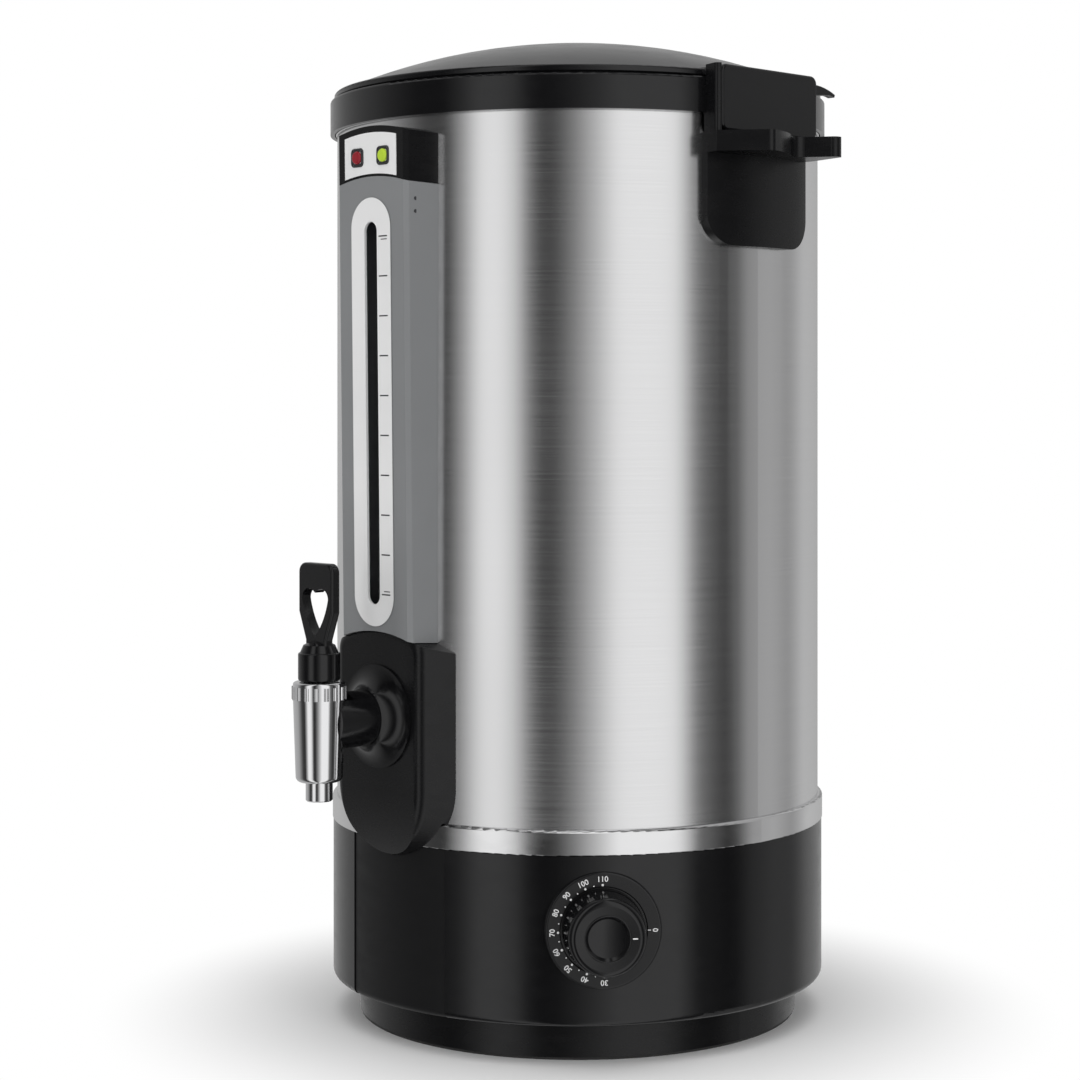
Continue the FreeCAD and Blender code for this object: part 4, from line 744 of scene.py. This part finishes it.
def oblong(half: float, low: float, high: float, out: float, steps: int = 16) -> list[tuple]:
    """Points round an upright slot with round ends.

    Args:
        half: half its width.
        low: its lowest point.
        high: its highest point.
        out: how far out it lies.
        steps: how many points each end has.

    Returns:
        The points, as right, up and out.
    """
    ends = [(high - half, 0.0), (low + half, math.pi)]
    return [
        (half * math.cos(start + math.pi * step / steps),
         middle + half * math.sin(start + math.pi * step / steps), out)
        for middle, start in ends for step in range(steps + 1)
    ]


def rounded_square(centre: tuple, half: float, corner: float, out: float) -> list[tuple]:
    """Points round a square with rounded corners.

    Args:
        centre: its middle, as right and up.
        half: half its width.
        corner: the rounding of its corners.
        out: how far out it lies.

    Returns:
        The points, as right, up and out.
    """
    points = []
    for quarter in range(4):
        turn = quarter * math.pi / 2
        inner = half - corner
        across, along = [(1, 1), (-1, 1), (-1, -1), (1, -1)][quarter]
        for step in range(5):
            angle = turn + math.pi / 2 * step / 4
            points.append((centre[0] + across * inner + corner * math.cos(angle),
                           centre[1] + along * inner + corner * math.sin(angle), out))
    return points


@dataclass(frozen=True)
class Dial:
    """The scale round the knob, and the knob's mark."""

    figure_circle: float = 0.0272
    dot_circle: float = 0.0242
    figure_size: float = 0.0030
    figure_out: float = 0.00005
    dot_out: float = 0.00003
    dot_depth: float = 0.0001
    dot_sides: int = 14
    big_dot: float = 0.00062
    small_dot: float = 0.00038
    lowest_number: int = 30
    number_step: int = 10
    numbers: int = 9
    first_angle: float = 270.6
    step_angle: float = 22.4
    zero_bar: tuple[float, float, float] = (0.0016, 0.0005, 0.0001)
    zero_bar_out: float = 0.00004
    mark_place: tuple[float, float, float] = (0.0146, 0.0, 0.0202)
    mark_size: tuple[float, float, float] = (0.0032, 0.0007, 0.0002)
    mark_soft: float = 0.0001
    ridge_circle: float = 0.0121
    ridge_out: float = 0.0199
    ridge_radius: float = 0.00045
    ridge_steps: int = 48

    def build(self, bench: Bench) -> None:
        """Prints the scale and sets the mark.

        Args:
            bench: makes the shapes.
        """
        figures, dots = [], []
        for step in range(self.numbers):
            angle = math.radians(self.first_angle - self.step_angle * step)
            number = self.lowest_number + self.number_step * step
            figures.append(self._figure(bench, str(number), angle))
            dots.append(self._dot(bench, angle, self.big_dot))
            if step:
                half = angle + math.radians(self.step_angle / 2)
                dots.append(self._dot(bench, half, self.small_dot))
        figures.append(self._figure(bench, "0", 0.0))
        dots.append(bench.bar(DIAL, (self.dot_circle, 0, self.zero_bar_out), self.zero_bar))
        bench.piece("dial_figures", figures, Palette.PRINT)
        bench.piece("dial_dots", dots, Palette.PRINT)
        mark = bench.bar(DIAL, self.mark_place, self.mark_size, self.mark_soft)
        bench.piece("knob_mark", [mark], Palette.PRINT, "knob_body")
        ridge = [
            self._around(self.ridge_circle, math.tau * step / self.ridge_steps, self.ridge_out)
            for step in range(self.ridge_steps)
        ]
        bench.piece("knob_ridge", [bench.cord(DIAL, ridge, self.ridge_radius)], Palette.GLOSS,
                    "knob_body")

    @staticmethod
    def _around(radius: float, angle: float, out: float) -> tuple[float, float, float]:
        """A point on a circle round the knob."""
        return radius * math.cos(angle), radius * math.sin(angle), out

    def _figure(self, bench: Bench, text: str, angle: float) -> bpy.types.Object:
        """One number, standing on the circle."""
        at = self._around(self.figure_circle, angle, self.figure_out)
        return bench.figure(DIAL, text, at, self.figure_size, angle - math.pi / 2)

    def _dot(self, bench: Bench, angle: float, radius: float) -> bpy.types.Object:
        """One dot of the scale."""
        at = self._around(self.dot_circle, angle, self.dot_out)
        return bench.stud(DIAL, at, radius, self.dot_depth, self.dot_sides)


@dataclass(frozen=True)
class Gauge:
    """The marks beside the sight tube, and the edges round the white plates."""

    highest: float = 0.2135
    lowest: float = 0.0205
    marks: int = 10
    face: float = 0.0005
    mark_right: float = 0.0102
    mark_size: tuple[float, float, float] = (0.0070, 0.00075, 0.00012)
    second_mark_step: float = 0.0017
    second_mark_right: float = 0.0110
    second_mark_size: tuple[float, float, float] = (0.0050, 0.00055, 0.00012)
    bezel: tuple[float, float, float, float] = (0.0163, 0.003, 0.2347, 0.0001)
    bezel_bead: float = 0.00035
    slot: tuple[float, float, float, float] = (0.0055, 0.0146, 0.2219, 0.0004)
    slot_bead: float = 0.0003
    dot_heights: tuple[float, float] = (0.4597, 0.4529)
    dot_side: tuple[float, float] = (0.02956, -0.1503)
    dot_out: float = 0.00002
    dot_radius: float = 0.00105
    dot_depth: float = 0.0003

    def build(self, bench: Bench) -> None:
        """Prints the marks and lays the edges.

        Args:
            bench: makes the shapes.
        """
        ticks = []
        for step in range(self.marks):
            up = self.highest + (self.lowest - self.highest) * step / (self.marks - 1)
            ticks.append(bench.bar(GAUGE, (self.mark_right, up, self.face), self.mark_size))
        for up in (self.highest - self.second_mark_step, self.lowest + self.second_mark_step):
            at = (self.second_mark_right, up, self.face)
            ticks.append(bench.bar(GAUGE, at, self.second_mark_size))
        bench.piece("gauge_marks", ticks, Palette.INK)
        edge = bench.cord(GAUGE, oblong(*self.bezel), self.bezel_bead)
        lip = bench.cord(GAUGE, oblong(*self.slot), self.slot_bead)
        bench.piece("bezel_edge", [edge], Palette.EDGE)
        bench.piece("slot_lip", [lip], Palette.WHITE)
        dots = []
        for height in self.dot_heights:
            side = Facet(Vector((*self.dot_side, height)), Vector((0, 0, 1)),
                         Vector((1.0, 0.0, 0.0)))
            dots.append(bench.stud(side, (0, 0, self.dot_out), self.dot_radius, self.dot_depth))
        bench.piece("housing_dots", dots, Palette.INK)


@dataclass(frozen=True)
class Lamps:
    """The frames round the two lamps."""

    pitch: float = 0.0214
    height: float = 0.2568
    half: float = 0.0046
    corner: float = 0.0018
    bead: float = 0.00055
    seat_inset: float = 0.0009
    seat_corner: float = 0.0016
    seat_bead: float = 0.00045
    out: float = 0.0004

    def build(self, bench: Bench) -> None:
        """Lays a frame round each lens.

        Args:
            bench: makes the shapes.
        """
        frames, seats = [], []
        for side in (-1, 1):
            centre = (side * self.pitch / 2, self.height)
            outer = rounded_square(centre, self.half, self.corner, self.out)
            inner = rounded_square(centre, self.half - self.seat_inset, self.seat_corner, self.out)
            frames.append(bench.cord(GAUGE, outer, self.bead))
            seats.append(bench.cord(GAUGE, inner, self.seat_bead))
        bench.piece("lamp_frames", frames, Palette.INK)
        bench.piece("lamp_seats", seats, Palette.INK)


@dataclass(frozen=True)
class Wall:
    """The welded seam up the back of the steel wall."""

    radius: float = 0.14
    low: float = 0.1255
    high: float = 0.5055
    width: float = 0.0016
    depth: float = 0.0003
    soft: float = 0.0001

    def build(self, bench: Bench) -> None:
        """Lays the seam.

        Args:
            bench: makes the shapes.
        """
        back = Facet(Vector((0, self.radius, (self.low + self.high) / 2)), Vector((0, 0, 1)),
                     Vector((0, 1, 0)))
        size = (self.width, self.high - self.low, self.depth)
        weld = bench.bar(back, (0, 0, 0), size, self.soft)
        bench.piece("wall_seam", [weld], Palette.STEEL)


class Urn:
    """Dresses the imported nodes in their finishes."""

    def __init__(self, paintbox: Paintbox) -> None:
        """Keeps the materials to use.

        Args:
            paintbox: where they come from.
        """
        self.paintbox = paintbox

    def dress(self) -> None:
        """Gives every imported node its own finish, or that of its material slot."""
        slots = {part["node"]: part["material_slot"] for part in frame["record"]["subparts"]}
        for name, node in frame["nodes"].items():
            finish = self.paintbox.of(NODE_FINISHES.get(name, CAD_FINISHES[slots[name]]))
            if not node.material_slots:
                node.data.materials.append(finish)
            for holder in node.material_slots:
                holder.material = finish


def main() -> None:
    """Builds everything in order."""
    logging.basicConfig(level=logging.INFO, format="%(message)s")
    bpy.context.scene.view_settings.view_transform = "Standard"
    studio = Studio()
    studio.place_camera()
    studio.lay_floor()
    studio.light()
    paintbox = Paintbox()
    Urn(paintbox).dress()
    bench = Bench(paintbox)
    for part in (Dial(), Gauge(), Lamps(), Wall()):
        part.build(bench)


if __name__ == "__main__":
    main()
